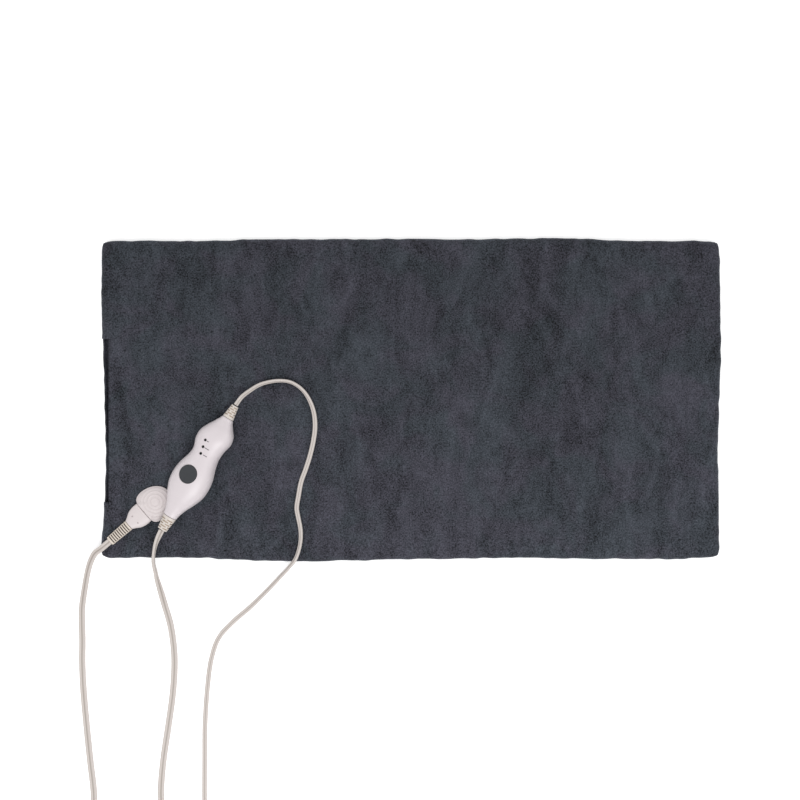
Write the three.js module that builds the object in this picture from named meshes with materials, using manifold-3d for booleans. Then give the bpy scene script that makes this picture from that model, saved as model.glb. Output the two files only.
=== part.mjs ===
// An electric heating pad with a hand controller, a plug-in pad lead and a coiled mains lead.
// Millimetres, +Z up. The pad lies face up on z = 0 with its centre on the origin and its length along X.
import * as THREE from 'three';
import { mergeVertices } from 'three/addons/utils/BufferGeometryUtils.js';
import { ParametricGeometry } from 'three/addons/geometries/ParametricGeometry.js';
import Module from 'manifold-3d';

const wasm = await Module();
wasm.setup();

// ---- Driving sizes -------------------------------------------------------------------------------

// Clearance between pieces that touch, and the closer one inside the electrical contacts
const gap = 0.3;
const contactGap = 0.2;

// Pad cover
const padLength = 610;
const padWidth = 315;
const padCorner = 10;
const padEdgeRound = 2.6;
const coverThickness = 2.4;
const seamHeight = 6.3;

// Cover opening at the left end, closed by hook and loop strips on two folded hems
const openingFrom = 57;
const openingTo = 217;
const openingSetBack = 4.5;
const hemWidth = 14;
const backHem = 2.2;
const frontHem = 2.6;
const loopStripThickness = 1.0;
const hookStripThickness = 1.4;
const stripInset = 1;

// Layers inside the cover, from the back to the front
const layerEdgeClearance = 4;
const closureMargin = 22;
const waddingThickness = 3.0;
const feltThickness = 0.8;
const wireDiameter = 2.0;

// Heating wire: rows along X joined by half turns
const wireRows = 16;
const wireEdgeMargin = 17.25;
const wireLeftTurn = 43;
const wireRightTurn = 25;
const wireReturnInset = 26;
const wireCornerRadius = 8;
const wireSides = 6;

// Thermostats and fuse in pockets of the wadding: middle x and y from the lower left corner, length, width
const pockets = {
  thermostat_left: [196, 214, 16, 9],
  thermostat_right: [430, 118, 16, 9],
  thermal_fuse: [300, 160, 12, 5],
};

// Socket on the pad: the middle of its mouth from the lower left corner, and the way the plug goes in
const socketMouth = new THREE.Vector2(40.6, 46.8);
const socketAngle = THREE.MathUtils.degToRad(40.5);
const capHalfWidth = 18.3;
const capWidestAt = 9.5;
const capLength = 33;
const mouthHalfWidth = 11.6;
const capEdgeHeight = 2.6;
const capCrown = 3.6;
const hubFromMouth = 14.7;
const hubRadius = 9;
const basePlateRadius = 12.6;
const basePlateThickness = 0.8;
const clampRadius = 13;
const tongueLength = 11;
const tongueHalfWidth = 5.5;
const tongueThickness = 3.1;
const contactSpacing = 5.6;
const contactPinRadius = 0.55;
const sleeveInnerRadius = 0.75;
const sleeveOuterRadius = 1.05;
const socketScrewSpacing = 11;
const socketScrewRadius = 1.0;
const socketScrewHeadRadius = 2.0;

// Connector on the pad lead
const connectorLength = 19.4;
const connectorHalfHeight = 2.95;
const connectorReliefLength = 24.4;
const connectorReliefRadii = [5.4, 4.85];

// Controller: the end of its lower strain relief from the lower left corner, its heading and leftward roll
const controllerStart = new THREE.Vector2(59.9, 30.3);
const controllerHeading = THREE.MathUtils.degToRad(59.4);
const controllerRoll = THREE.MathUtils.degToRad(13);
const controllerBody = [15, 127];
const controllerEnd = 141;
const controllerWall = 1.8;
// Along the axis: half width, height above and depth below the parting plane
const controllerStations = [15, 26, 36, 46, 56, 66, 78, 86, 95, 105, 113, 120, 127];
const controllerSizes = [
  [7.2, 6.4, 4.4], [10.2, 8.4, 5.2], [15.2, 11.6, 8.0], [19.2, 13.6, 10.0], [20.2, 14.4, 10.5],
  [19.0, 14.2, 10.5], [15.2, 12.8, 10.0], [14.0, 12.2, 9.6], [15.2, 12.4, 9.6], [17.0, 12.4, 9.6],
  [14.6, 10.4, 8.4], [9.6, 7.6, 6.4], [6.0, 5.4, 4.6],
];
const sectionPower = 2.5;

// Button, its switch and the three lights
const buttonAt = new THREE.Vector2(61.5, 1.3);
const buttonRadius = 9;
const buttonTravel = 0.8;
const buttonProud = 0.5;
const buttonFlange = 1.2;
const lightCount = 3;
const lightFirst = new THREE.Vector2(84.9, 1.5);
const lightStep = new THREE.Vector2(6.75, 1.45);
const lightRadius = 1.05;

// Circuit board and what stands on it
const boardTop = -1.8;
const boardThickness = 1.6;
const boardHalfWidth = 9;
const boardSpan = [38, 105];
const boardRibs = [44, 99];
const switchSize = 6;
const switchHeight = 3.5;
const switchFloor = 0.8;
const plungerRadius = 1.7;
const plungerProud = 1.2;
const buttonStemRadius = 2.2;
const triacSize = [7, 5.4, 2.3];
const triacOffset = -6.9;
const capacitorSize = [5, 12, 7];
const capacitorAt = 44.5;
const boardFuseSpan = [69, 76];
const boardFuseRadius = 1.2;
const boardFuseOffset = -5;
const chipSize = [6, 5, 1.5];
const chipAt = new THREE.Vector2(72, 1.5);
const ledSize = [2, 2, 0.9];

// Case screws
const caseScrews = [31, 114];
const caseScrewRadius = 1.0;
const caseScrewHeadRadius = 2.3;
const caseScrewHead = [-4.6, -3.2];
const caseScrewTip = 4;
const casePostRadius = 3.6;

// Strain reliefs of the controller: outer radii at the case and at the cord, and the neck through the wall
const padReliefRadii = [7.0, 4.7];
const mainsReliefRadii = [5.9, 3.3];
const reliefFlatness = 0.85;
const reliefNeck = 0.3;
const reliefFlange = 0.6;

// Leads
const cordRadius = 2.5;
const coilRadius = 34;
const coilHalfWidth = 9;
const coilHeight = 10;
const coilBase = 1.6;
const coilCentre = new THREE.Vector2(139, -292.5);
const tieAngle = THREE.MathUtils.degToRad(35);
const tieThickness = 1.0;
const tieWidth = 4;

// Mains plug
const plugStart = new THREE.Vector2(205, -319);
const plugHeading = THREE.MathUtils.degToRad(15);
const plugReliefLength = 18;
const plugReliefRadii = [5, 3.3];
const plugLength = 32;
const plugWidth = 22;
const plugThickness = 13;
const plugRound = 2;
const bladeSpacing = 12.7;
const bladeLength = 15.9;
const bladeWidth = 6.35;
const bladeThickness = 1.5;
const bladeRoot = 5;

// ---- Heights that follow from the sizes ----------------------------------------------------------

const backTop = coverThickness;
const waddingBase = backTop + gap;
const waddingTop = waddingBase + waddingThickness;
const lowerFeltBase = waddingTop + gap;
const lowerFeltTop = lowerFeltBase + feltThickness;
const wireBase = lowerFeltTop + gap;
const wireTop = wireBase + wireDiameter;
const upperFeltBase = wireTop + gap;
const upperFeltTop = upperFeltBase + feltThickness;
const frontUnder = upperFeltTop + gap;
const padTop = frontUnder + coverThickness;
const wirePitch = (padWidth - 2 * wireEdgeMargin) / (wireRows - 1);
const left = -padLength / 2;
const bottom = -padWidth / 2;
const onPad = padTop + gap + cordRadius;
const onFloor = gap + cordRadius;

// ---- Materials -----------------------------------------------------------------------------------

function material(color, roughness, metalness = 0) {
  return new THREE.MeshStandardMaterial({ color, roughness, metalness });
}

const paints = {
  plush: () => material(0x3c3e45, 1.0),
  strip: () => material(0x26272b, 0.9),
  wadding: () => material(0xe9e6df, 1.0),
  felt: () => material(0xd8d4cc, 0.95),
  wire: () => material(0xe8c9a8, 0.6),
  thermostat: () => material(0x2e2e30, 0.5),
  shell: () => material(0xe6dee0, 0.3),
  innerPlastic: () => material(0xc9c6c2, 0.5),
  cord: () => material(0xe9e5de, 0.45),
  button: () => material(0x45474a, 0.45),
  lens: () => material(0x2b2c2e, 0.25),
  led: () => material(0xf1ead0, 0.3),
  board: () => material(0x2f6b45, 0.5),
  chip: () => material(0x1d1d1f, 0.5),
  film: () => material(0xb98a2f, 0.4),
  brass: () => material(0xc9a45c, 0.3, 1),
  steel: () => material(0xa9abad, 0.35, 1),
};

// ---- Tools for solids ----------------------------------------------------------------------------

// A closed three.js geometry as a solid for cutting and joining.
function solid(geometry) {
  const loose = geometry.index ? geometry.toNonIndexed() : geometry;
  const bare = new THREE.BufferGeometry();
  bare.setAttribute('position', loose.getAttribute('position').clone());
  const merged = mergeVertices(bare, 1e-4);
  const corners = merged.index.array;
  const kept = [];
  for (let i = 0; i < corners.length; i += 3) {
    const [a, b, c] = corners.slice(i, i + 3);
    if (a !== b && b !== c && c !== a) kept.push(a, b, c);
  }
  const vertProperties = merged.attributes.position.array;
  const triVerts = new Uint32Array(kept);
  return new wasm.Manifold(new wasm.Mesh({ numProp: 3, vertProperties, triVerts }));
}

// A solid back as a three.js geometry.
function geometryOf(body) {
  const mesh = body.getMesh();
  const geometry = new THREE.BufferGeometry();
  geometry.setAttribute('position', new THREE.BufferAttribute(new Float32Array(mesh.vertProperties), 3));
  geometry.setIndex(new THREE.BufferAttribute(new Uint32Array(mesh.triVerts), 1));
  return geometry;
}

function piece(name, shape, paint) {
  const geometry = shape.isBufferGeometry ? geometryOf(solid(shape)) : geometryOf(shape);
  const mesh = new THREE.Mesh(geometry, paints[paint]());
  mesh.name = name;
  return mesh;
}

function box([x0, x1], [y0, y1], [z0, z1]) {
  const geometry = new THREE.BoxGeometry(x1 - x0, y1 - y0, z1 - z0);
  return geometry.translate((x0 + x1) / 2, (y0 + y1) / 2, (z0 + z1) / 2);
}

// An upright cylinder on (x, y).
function post(radius, x, y, [z0, z1], sides = 20) {
  const geometry = new THREE.CylinderGeometry(radius, radius, z1 - z0, sides);
  return geometry.rotateX(Math.PI / 2).translate(x, y, (z0 + z1) / 2);
}

// A cylinder along X through (y, z).
function bar(radius, [x0, x1], y, z, sides = 16) {
  const geometry = new THREE.CylinderGeometry(radius, radius, x1 - x0, sides);
  return geometry.rotateZ(Math.PI / 2).translate((x0 + x1) / 2, y, z);
}

// A shape turned about X, from [x, radius] points that start and end on the axis.
function turned(points, sides = 10) {
  const profile = points.map(([x, radius]) => new THREE.Vector2(radius, x));
  return new THREE.LatheGeometry(profile, sides).rotateZ(-Math.PI / 2);
}

function roundedRectangle([x0, x1], [y0, y1], radius) {
  const shape = new THREE.Shape();
  shape.absarc(x1 - radius, y0 + radius, radius, -Math.PI / 2, 0);
  shape.absarc(x1 - radius, y1 - radius, radius, 0, Math.PI / 2);
  shape.absarc(x0 + radius, y1 - radius, radius, Math.PI / 2, Math.PI);
  shape.absarc(x0 + radius, y0 + radius, radius, Math.PI, Math.PI * 1.5);
  return shape;
}

function slab(shape, [z0, z1]) {
  const depth = z1 - z0;
  const geometry = new THREE.ExtrudeGeometry(shape, { depth, bevelEnabled: false, curveSegments: 6 });
  return geometry.translate(0, 0, z0);
}

// A slab whose top and bottom edges are rounded.
function softSlab(shape, [z0, z1], round) {
  const geometry = new THREE.ExtrudeGeometry(shape, {
    depth: z1 - z0 - 2 * round,
    bevelThickness: round,
    bevelSize: round,
    bevelOffset: -round,
    bevelSegments: 2,
    curveSegments: 5,
  });
  return geometry.translate(0, 0, z0 + round);
}

// A closed body through rings: ring(station, turn, point) sets a point, and both end rings are capped.
function loft(stations, ring, middle, sides) {
  const rows = stations.length + 1;
  const place = (turn, along, point) => {
    const row = Math.round(along * rows);
    const station = stations[THREE.MathUtils.clamp(row - 1, 0, stations.length - 1)];
    if (row === 0 || row === rows) middle(station, point);
    else ring(station, turn === 1 ? 0 : turn, point);
  };
  return new ParametricGeometry(place, sides, rows);
}

function polygon(sides, radius) {
  const shape = new THREE.Shape();
  for (let i = 0; i < sides; i += 1) {
    const angle = ((i + 0.5) / sides) * 2 * Math.PI;
    const corner = [radius * Math.cos(angle), radius * Math.sin(angle)];
    if (i === 0) shape.moveTo(...corner);
    else shape.lineTo(...corner);
  }
  return shape;
}

function spaced([from, to], count) {
  return Array.from({ length: count }, (_, i) => from + ((to - from) * i) / (count - 1));
}

// A power that keeps the sign, for the section of a rounded box.
function signedPower(value, power) {
  return Math.sign(value) * Math.abs(value) ** power;
}

// Ribs along X from the thick end to the thin end, as [x, radius] points.
function ribs([x0, x1], [r0, r1], count, depth) {
  const points = [];
  const pitch = (x1 - x0) / count;
  for (let i = 0; i < count; i += 1) {
    const x = x0 + i * pitch;
    const radius = r0 + ((r1 - r0) * i) / (count - 1);
    points.push([x, radius], [x + pitch * 0.6, radius]);
    if (i < count - 1) points.push([x + pitch * 0.7, radius - depth], [x + pitch * 0.9, radius - depth]);
  }
  return points;
}

// ---- Places shared by the pad and its socket -------------------------------------------------------

const mouth = new THREE.Vector2(left, bottom).add(socketMouth);
const hub = new THREE.Vector2(hubFromMouth, 0).rotateAround(new THREE.Vector2(), socketAngle).add(mouth);

// ---- Pad -------------------------------------------------------------------------------------------

function padOutline(inset) {
  const x = padLength / 2 - inset;
  const y = padWidth / 2 - inset;
  return roundedRectangle([-x, x], [-y, y], Math.max(padCorner - inset, 1));
}

function coverSpan() {
  return [bottom + openingFrom, bottom + openingTo];
}

function makeCovers() {
  const whole = solid(softSlab(padOutline(0), [0, padTop], padEdgeRound));
  const inside = solid(slab(padOutline(coverThickness), [backTop, frontUnder]));
  const above = solid(box([-padLength, padLength], [-padWidth, padWidth], [seamHeight + gap, 2 * padTop]));
  const below = solid(box([-padLength, padLength], [-padWidth, padWidth], [-padTop, seamHeight]));
  const [openFrom, openTo] = coverSpan();

  const setBack = left + openingSetBack;
  const hemEnd = setBack + hemWidth;
  const mouthCut = solid(box([left - 1, setBack], [openFrom, openTo], [seamHeight, padTop + 1]));
  const frontFold = solid(box([setBack, hemEnd], [openFrom, openTo], [frontUnder - frontHem, padTop - 1]));
  const hubHole = solid(post(hubRadius + gap, hub.x, hub.y, [frontUnder - 1, padTop + 1], 32));
  const front = whole.intersect(above).subtract(inside).subtract(mouthCut).add(frontFold).subtract(hubHole);

  const backHemSpan = [left + coverThickness - 1, hemEnd];
  const backFold = solid(box(backHemSpan, [openFrom, openTo], [1, backTop + backHem]));
  const back = whole.intersect(below).subtract(inside).add(backFold);
  return [piece('cover_front', front, 'plush'), piece('cover_back', back, 'plush')];
}

function makeClosure() {
  const [openFrom, openTo] = coverSpan();
  const x = [left + openingSetBack + stripInset, left + openingSetBack + hemWidth - stripInset];
  const y = [openFrom + stripInset, openTo - stripInset];
  const loopBase = backTop + backHem + gap;
  const hookTop = frontUnder - frontHem - gap;
  return [
    piece('loop_strip', box(x, y, [loopBase, loopBase + loopStripThickness]), 'strip'),
    piece('hook_strip', box(x, y, [hookTop - hookStripThickness, hookTop]), 'strip'),
  ];
}

function layerOutline() {
  const x = padLength / 2 - coverThickness - layerEdgeClearance;
  const y = padWidth / 2 - coverThickness - layerEdgeClearance;
  return roundedRectangle([left + closureMargin, x], [-y, y], padCorner - coverThickness);
}

function makeLayers() {
  const upper = solid(slab(layerOutline(), [upperFeltBase, upperFeltTop]));
  const hubHole = solid(post(hubRadius + gap, hub.x, hub.y, [wireTop, padTop], 32));
  const wadding = layerOutline();
  const held = [];
  for (const [name, [x, y, length, width]] of Object.entries(pockets)) {
    const middle = [left + x, bottom + y];
    const hole = new THREE.Path();
    const [dx, dy] = [length / 2 + gap, width / 2 + gap];
    hole.moveTo(middle[0] - dx, middle[1] - dy).lineTo(middle[0] - dx, middle[1] + dy);
    hole.lineTo(middle[0] + dx, middle[1] + dy).lineTo(middle[0] + dx, middle[1] - dy).closePath();
    wadding.holes.push(hole);
    const across = [middle[0] - length / 2, middle[0] + length / 2];
    const along = [middle[1] - width / 2, middle[1] + width / 2];
    held.push(piece(name, box(across, along, [waddingBase, waddingTop]), 'thermostat'));
  }
  return [
    piece('wadding', slab(wadding, [waddingBase, waddingTop]), 'wadding'),
    piece('felt_lower', slab(layerOutline(), [lowerFeltBase, lowerFeltTop]), 'felt'),
    piece('felt_upper', upper.subtract(hubHole), 'felt'),
    ...held,
  ];
}

// A path walked from station to station, so that straight runs cost one step each.
class StationPath extends THREE.Curve {
  constructor(stations) {
    super();
    this.stations = stations;
  }

  getPoint(t, target = new THREE.Vector3()) {
    const place = THREE.MathUtils.clamp(t, 0, 1) * (this.stations.length - 1);
    const i = Math.min(Math.floor(place), this.stations.length - 2);
    return target.lerpVectors(this.stations[i], this.stations[i + 1], place - i);
  }

  getUtoTmapping(u) {
    return u;
  }
}

// Points on an arc, both ends included.
function arc(x, y, z, radius, from, to, steps) {
  return spaced([from, to], steps + 1).map(
    (angle) => new THREE.Vector3(x + radius * Math.cos(angle), y + radius * Math.sin(angle), z),
  );
}

function makeHeatingWire() {
  const z = wireBase + wireDiameter / 2;
  const quarter = Math.PI / 2;
  const rowY = (row) => (row - (wireRows - 1) / 2) * wirePitch;
  const turnRight = padLength / 2 - wireRightTurn;
  const clear = clampRadius + wireDiameter;
  const turnLeft = (row) => {
    const blocked = [rowY(row), rowY(row + 1)].some((y) => Math.abs(y - hub.y) < clear);
    return blocked ? hub.x + clear + wirePitch / 2 : left + wireLeftTurn;
  };
  const startX = hub.x + wireDiameter;
  const bend = wireCornerRadius;
  const stations = [new THREE.Vector3(startX, hub.y - clampRadius - gap, z)];
  stations.push(...arc(startX + bend, rowY(0) + bend, z, bend, Math.PI, Math.PI + quarter, 2));
  for (let row = 0; row < wireRows - 1; row += 1) {
    const middle = rowY(row) + wirePitch / 2;
    if (row % 2 === 0) stations.push(...arc(turnRight, middle, z, wirePitch / 2, -quarter, quarter, 4));
    else stations.push(...arc(turnLeft(row), middle, z, wirePitch / 2, -quarter, -3 * quarter, 4));
  }
  const returnX = left + wireReturnInset;
  const lastY = rowY(wireRows - 1);
  stations.push(...arc(returnX + bend, lastY - bend, z, bend, quarter, Math.PI, 2));
  stations.push(...arc(returnX + bend, hub.y + bend, z, bend, Math.PI, Math.PI + quarter, 2));
  stations.push(new THREE.Vector3(hub.x - clampRadius - gap, hub.y, z));
  const extrudePath = new StationPath(stations);
  const section = polygon(wireSides, wireDiameter / 2);
  const steps = stations.length - 1;
  return piece('heating_wire', new THREE.ExtrudeGeometry(section, { steps, extrudePath }), 'wire');
}

// ---- Socket and connector --------------------------------------------------------------------------
// Both are drawn with the mouth at x = 0 and +X the way the plug goes in.

const capBase = padTop + gap;
const basePlateTop = capBase + basePlateThickness;
const tongueBase = basePlateTop + 2 * gap;
const tongueTop = tongueBase + tongueThickness;
const contactZ = (tongueBase + tongueTop) / 2;
const cavityLength = tongueLength + 0.7;
const pinLegX = cavityLength + 1.6;

// Half width and crown of the cap at a distance past its mouth.
function capSection(x) {
  if (x < capWidestAt) {
    const rise = Math.sqrt(1 - (1 - x / capWidestAt) ** 2);
    return [mouthHalfWidth + (capHalfWidth - mouthHalfWidth) * rise, capCrown];
  }
  const share = (x - capWidestAt) / (capLength - capWidestAt);
  const round = Math.sqrt(Math.max(0, 1 - share ** 2));
  return [capHalfWidth * round, capCrown * round];
}

function makeSocket() {
  const shares = [0, 0.02, 0.06, 0.14, 0.29, 0.45, 0.61, 0.74, 0.85, 0.92, 0.975, 1];
  const stations = shares.map((share) => share * capLength);
  const ring = (x, turn, point) => {
    const [halfWidth, crown] = capSection(x);
    const angle = 2 * Math.PI * turn;
    const height = Math.sin(angle) > -1e-9 ? capEdgeHeight + crown * Math.sin(angle) : 0;
    point.set(x, halfWidth * Math.cos(angle), capBase + Math.max(height, 0));
  };
  const middle = (x, point) => point.set(x, 0, capBase + capEdgeHeight / 2);
  const blank = solid(loft(stations, ring, middle, 24));
  const plateSpan = [capBase - 1, basePlateTop + gap];
  const plateRoom = solid(post(basePlateRadius + gap, hubFromMouth, 0, plateSpan, 32));
  const side = tongueHalfWidth + gap;
  const cavity = solid(box([-1, cavityLength], [-side, side], [basePlateTop + gap, tongueTop + gap]));
  let cap = blank.subtract(plateRoom).subtract(cavity);

  const hubBase = wireTop + gap;
  const profile = [
    [0, hubBase], [hubRadius, hubBase], [hubRadius, capBase],
    [basePlateRadius, capBase], [basePlateRadius, basePlateTop], [0, basePlateTop],
  ].map(([radius, z]) => new THREE.Vector2(radius, z));
  let base = solid(new THREE.LatheGeometry(profile, 32).rotateX(Math.PI / 2).translate(hubFromMouth, 0, 0));
  let clamp = solid(post(clampRadius, hubFromMouth, 0, [wireBase, wireTop], 32));

  const pieces = [];
  for (const [tag, way] of [['a', 1], ['b', -1]]) {
    const y = (way * contactSpacing) / 2;
    const slotSide = contactPinRadius + gap;
    const slotX = [cavityLength - 1, pinLegX + slotSide];
    cap = cap.subtract(solid(box(slotX, [y - slotSide, y + slotSide], [basePlateTop, contactZ + slotSide])));
    const legSpan = [hubBase - 1, basePlateTop + 1];
    base = base.subtract(solid(post(contactPinRadius + gap, pinLegX, y, legSpan, 10)));
    const pin = solid(bar(contactPinRadius, [cavityLength - tongueLength + 2, pinLegX], y, contactZ, 10));
    const leg = solid(post(contactPinRadius, pinLegX, y, [hubBase, contactZ], 10));
    pieces.push(piece(`socket_pin_${tag}`, pin.add(leg), 'brass'));
  }
  for (const [tag, way] of [['a', 1], ['b', -1]]) {
    const x = hubFromMouth;
    const y = (way * socketScrewSpacing) / 2;
    const headTop = wireBase + 1.2;
    const tip = basePlateTop - 1.2;
    clamp = clamp.subtract(solid(post(socketScrewHeadRadius + gap, x, y, [wireBase - 1, headTop + gap])));
    clamp = clamp.subtract(solid(post(socketScrewRadius + gap, x, y, [wireBase, wireTop + 1], 12)));
    base = base.subtract(solid(post(socketScrewRadius + gap, x, y, [hubBase - 1, tip + gap], 12)));
    const head = solid(post(socketScrewHeadRadius, x, y, [wireBase, headTop]));
    const shank = solid(post(socketScrewRadius, x, y, [headTop - 0.1, tip], 12));
    pieces.push(piece(`socket_screw_${tag}`, head.add(shank), 'steel'));
  }
  pieces.push(piece('socket_cap', cap, 'shell'));
  pieces.push(piece('socket_base', base, 'shell'));
  pieces.push(piece('socket_clamp_plate', clamp, 'innerPlastic'));
  return pieces;
}

function makeConnector() {
  const bodyZ = capBase + 0.2 + connectorHalfHeight;
  // Half widths of the body from its strain relief to the mouth
  const shares = [0, 0.12, 0.38, 0.7, 1];
  const widths = new THREE.CubicInterpolant(shares, [5.6, 6.6, 9.6, 11.2, mouthHalfWidth - 0.3], 1);
  const ring = (share, turn, point) => {
    const [halfWidth] = widths.evaluate(share);
    const angle = 2 * Math.PI * turn;
    const y = halfWidth * signedPower(Math.cos(angle), 2 / 3);
    const z = connectorHalfHeight * signedPower(Math.sin(angle), 2 / 2.4);
    point.set(-gap - connectorLength * (1 - share), y, bodyZ + z);
  };
  const middle = (share, point) => point.set(-gap - connectorLength * (1 - share), 0, bodyZ);
  const body = solid(loft(spaced([0, 1], 11), ring, middle, 24));
  const side = tongueHalfWidth;
  const tongue = solid(box([-2, tongueLength], [-side, side], [tongueBase, tongueTop]));
  let whole = body.add(tongue);
  const pieces = [];
  for (const [tag, way] of [['a', 1], ['b', -1]]) {
    const y = (way * contactSpacing) / 2;
    const bore = solid(bar(sleeveOuterRadius + contactGap, [0.6, tongueLength + 1], y, contactZ, 12));
    whole = whole.subtract(bore);
    const sleeveSpan = [0.6 + contactGap, tongueLength - contactGap];
    const outer = solid(bar(sleeveOuterRadius, sleeveSpan, y, contactZ, 12));
    const hollow = solid(bar(sleeveInnerRadius, [0, tongueLength + 1], y, contactZ, 12));
    pieces.push(piece(`connector_sleeve_${tag}`, outer.subtract(hollow), 'brass'));
  }
  pieces.push(piece('connector_body', whole, 'shell'));

  const reliefEnd = -2 * gap - connectorLength;
  const ribbed = ribs([0, connectorReliefLength], connectorReliefRadii, 9, 0.7);
  const reliefTip = [[connectorReliefLength, connectorReliefRadii[1]], [connectorReliefLength, 0]];
  const profile = [[0, 0], ...ribbed, ...reliefTip];
  const flatness = connectorHalfHeight / connectorReliefRadii[0];
  const relief = turned(profile).rotateZ(Math.PI).scale(1, 1, flatness).translate(reliefEnd, 0, bodyZ);
  pieces.push(piece('connector_relief', relief, 'cord'));
  return pieces;
}

// ---- Controller --------------------------------------------------------------------------------------
// Drawn along +X from its pad-lead end, with +Y to its left and the parting plane at z = 0.

const caseShape = new THREE.CubicInterpolant(controllerStations, controllerSizes.flat(), 3);

// The case from end to end, made smaller all round by inset.
function caseLoft(inset) {
  const ring = (x, turn, point) => {
    const [halfWidth, above, below] = caseShape.evaluate(x);
    const angle = 2 * Math.PI * turn;
    const height = Math.sin(angle) > 0 ? above : below;
    const y = (halfWidth - inset) * signedPower(Math.cos(angle), 2 / sectionPower);
    const z = (height - inset) * signedPower(Math.sin(angle), 2 / sectionPower);
    point.set(x, y, z);
  };
  const span = [controllerBody[0] + inset, controllerBody[1] - inset];
  return loft(spaced(span, 18), ring, (x, point) => point.set(x, 0, 0), 24);
}

// How far the rolled case reaches below its own axis.
function rolledDepth() {
  const corners = caseLoft(0).rotateX(-controllerRoll).getAttribute('position');
  return -Math.min(...Array.from({ length: corners.count }, (_, i) => corners.getZ(i)));
}

function faceHeight(x, y) {
  const [halfWidth, above] = caseShape.evaluate(x);
  return above * (1 - (Math.abs(y) / halfWidth) ** sectionPower) ** (1 / sectionPower);
}

function makeCase() {
  const outer = solid(caseLoft(0));
  const inner = solid(caseLoft(controllerWall));
  const far = 60;
  const wide = [-far, far];
  const upperHalf = outer.intersect(solid(box([0, controllerEnd], wide, [gap / 2, far])));
  const lowerHalf = outer.intersect(solid(box([0, controllerEnd], wide, [-far, -gap / 2])));
  let top = upperHalf.subtract(inner);
  let base = lowerHalf.subtract(inner);

  const boardUnder = boardTop - boardThickness;
  for (const x of boardRibs) {
    const rib = solid(box([x - 1, x + 1], [-boardHalfWidth, boardHalfWidth], [-far, boardUnder - gap]));
    base = base.add(rib.intersect(lowerHalf));
  }
  const pieces = [];
  caseScrews.forEach((x, i) => {
    top = top.add(solid(post(casePostRadius, x, 0, [gap / 2, far])).intersect(upperHalf));
    base = base.add(solid(post(casePostRadius, x, 0, [-far, -gap / 2])).intersect(lowerHalf));
    const [headBase, headTop] = caseScrewHead;
    base = base.subtract(solid(post(caseScrewHeadRadius + gap, x, 0, [-far, headTop + gap])));
    base = base.subtract(solid(post(caseScrewRadius + gap, x, 0, [-far, 1], 12)));
    top = top.subtract(solid(post(caseScrewRadius + gap, x, 0, [-1, caseScrewTip + gap], 12)));
    const head = solid(post(caseScrewHeadRadius, x, 0, [headBase, headTop]));
    const shank = solid(post(caseScrewRadius, x, 0, [headTop - 0.1, caseScrewTip], 12));
    pieces.push(piece(`case_screw_${i + 1}`, head.add(shank), 'steel'));
  });

  top = top.subtract(solid(post(buttonRadius + gap, buttonAt.x, buttonAt.y, [0, far], 36)));
  for (const place of lightPlaces()) {
    top = top.subtract(solid(post(lightRadius + gap, place.x, place.y, [0, far], 12)));
  }
  const [start, end] = controllerBody;
  const wall = controllerWall + 1;
  const holes = [
    bar(reliefNeck * padReliefRadii[0] + gap, [start - 1, start + wall], 0, 0),
    bar(reliefNeck * mainsReliefRadii[0] + gap, [end - wall, end + 1], 0, 0),
  ];
  for (const hole of holes) {
    top = top.subtract(solid(hole));
    base = base.subtract(solid(hole));
  }
  pieces.push(piece('controller_top', top, 'shell'));
  pieces.push(piece('controller_base', base, 'shell'));
  return pieces;
}

function lightPlaces() {
  return Array.from({ length: lightCount }, (_, i) => lightFirst.clone().addScaledVector(lightStep, i));
}

const partBase = boardTop + gap;
const switchTop = partBase + switchHeight;
const plungerTop = switchTop + plungerProud;

function makeButton() {
  const crown = faceHeight(buttonAt.x, 0) + buttonProud;
  const edge = crown - 0.7;
  const flangeRadius = buttonRadius + buttonFlange;
  const under = faceHeight(buttonAt.x, flangeRadius + Math.abs(buttonAt.y)) - controllerWall - 2 * gap;
  const stem = buttonStemRadius;
  const profile = [
    [0, plungerTop + gap], [stem, plungerTop + gap], [stem, under - 1],
    [flangeRadius, under - 1], [flangeRadius, under], [buttonRadius, under],
    [buttonRadius, edge], [buttonRadius - 0.7, crown - 0.2], [0, crown],
  ].map(([radius, z]) => new THREE.Vector2(radius, z));
  const cap = new THREE.LatheGeometry(profile, 36).rotateX(Math.PI / 2).translate(buttonAt.x, buttonAt.y, 0);
  return piece('button', cap, 'button');
}

// A box standing on the board, with its middle at (x, y).
function boardPart(x, y, [length, width, height]) {
  const across = [x - length / 2, x + length / 2];
  return box(across, [y - width / 2, y + width / 2], [partBase, partBase + height]);
}

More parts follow.
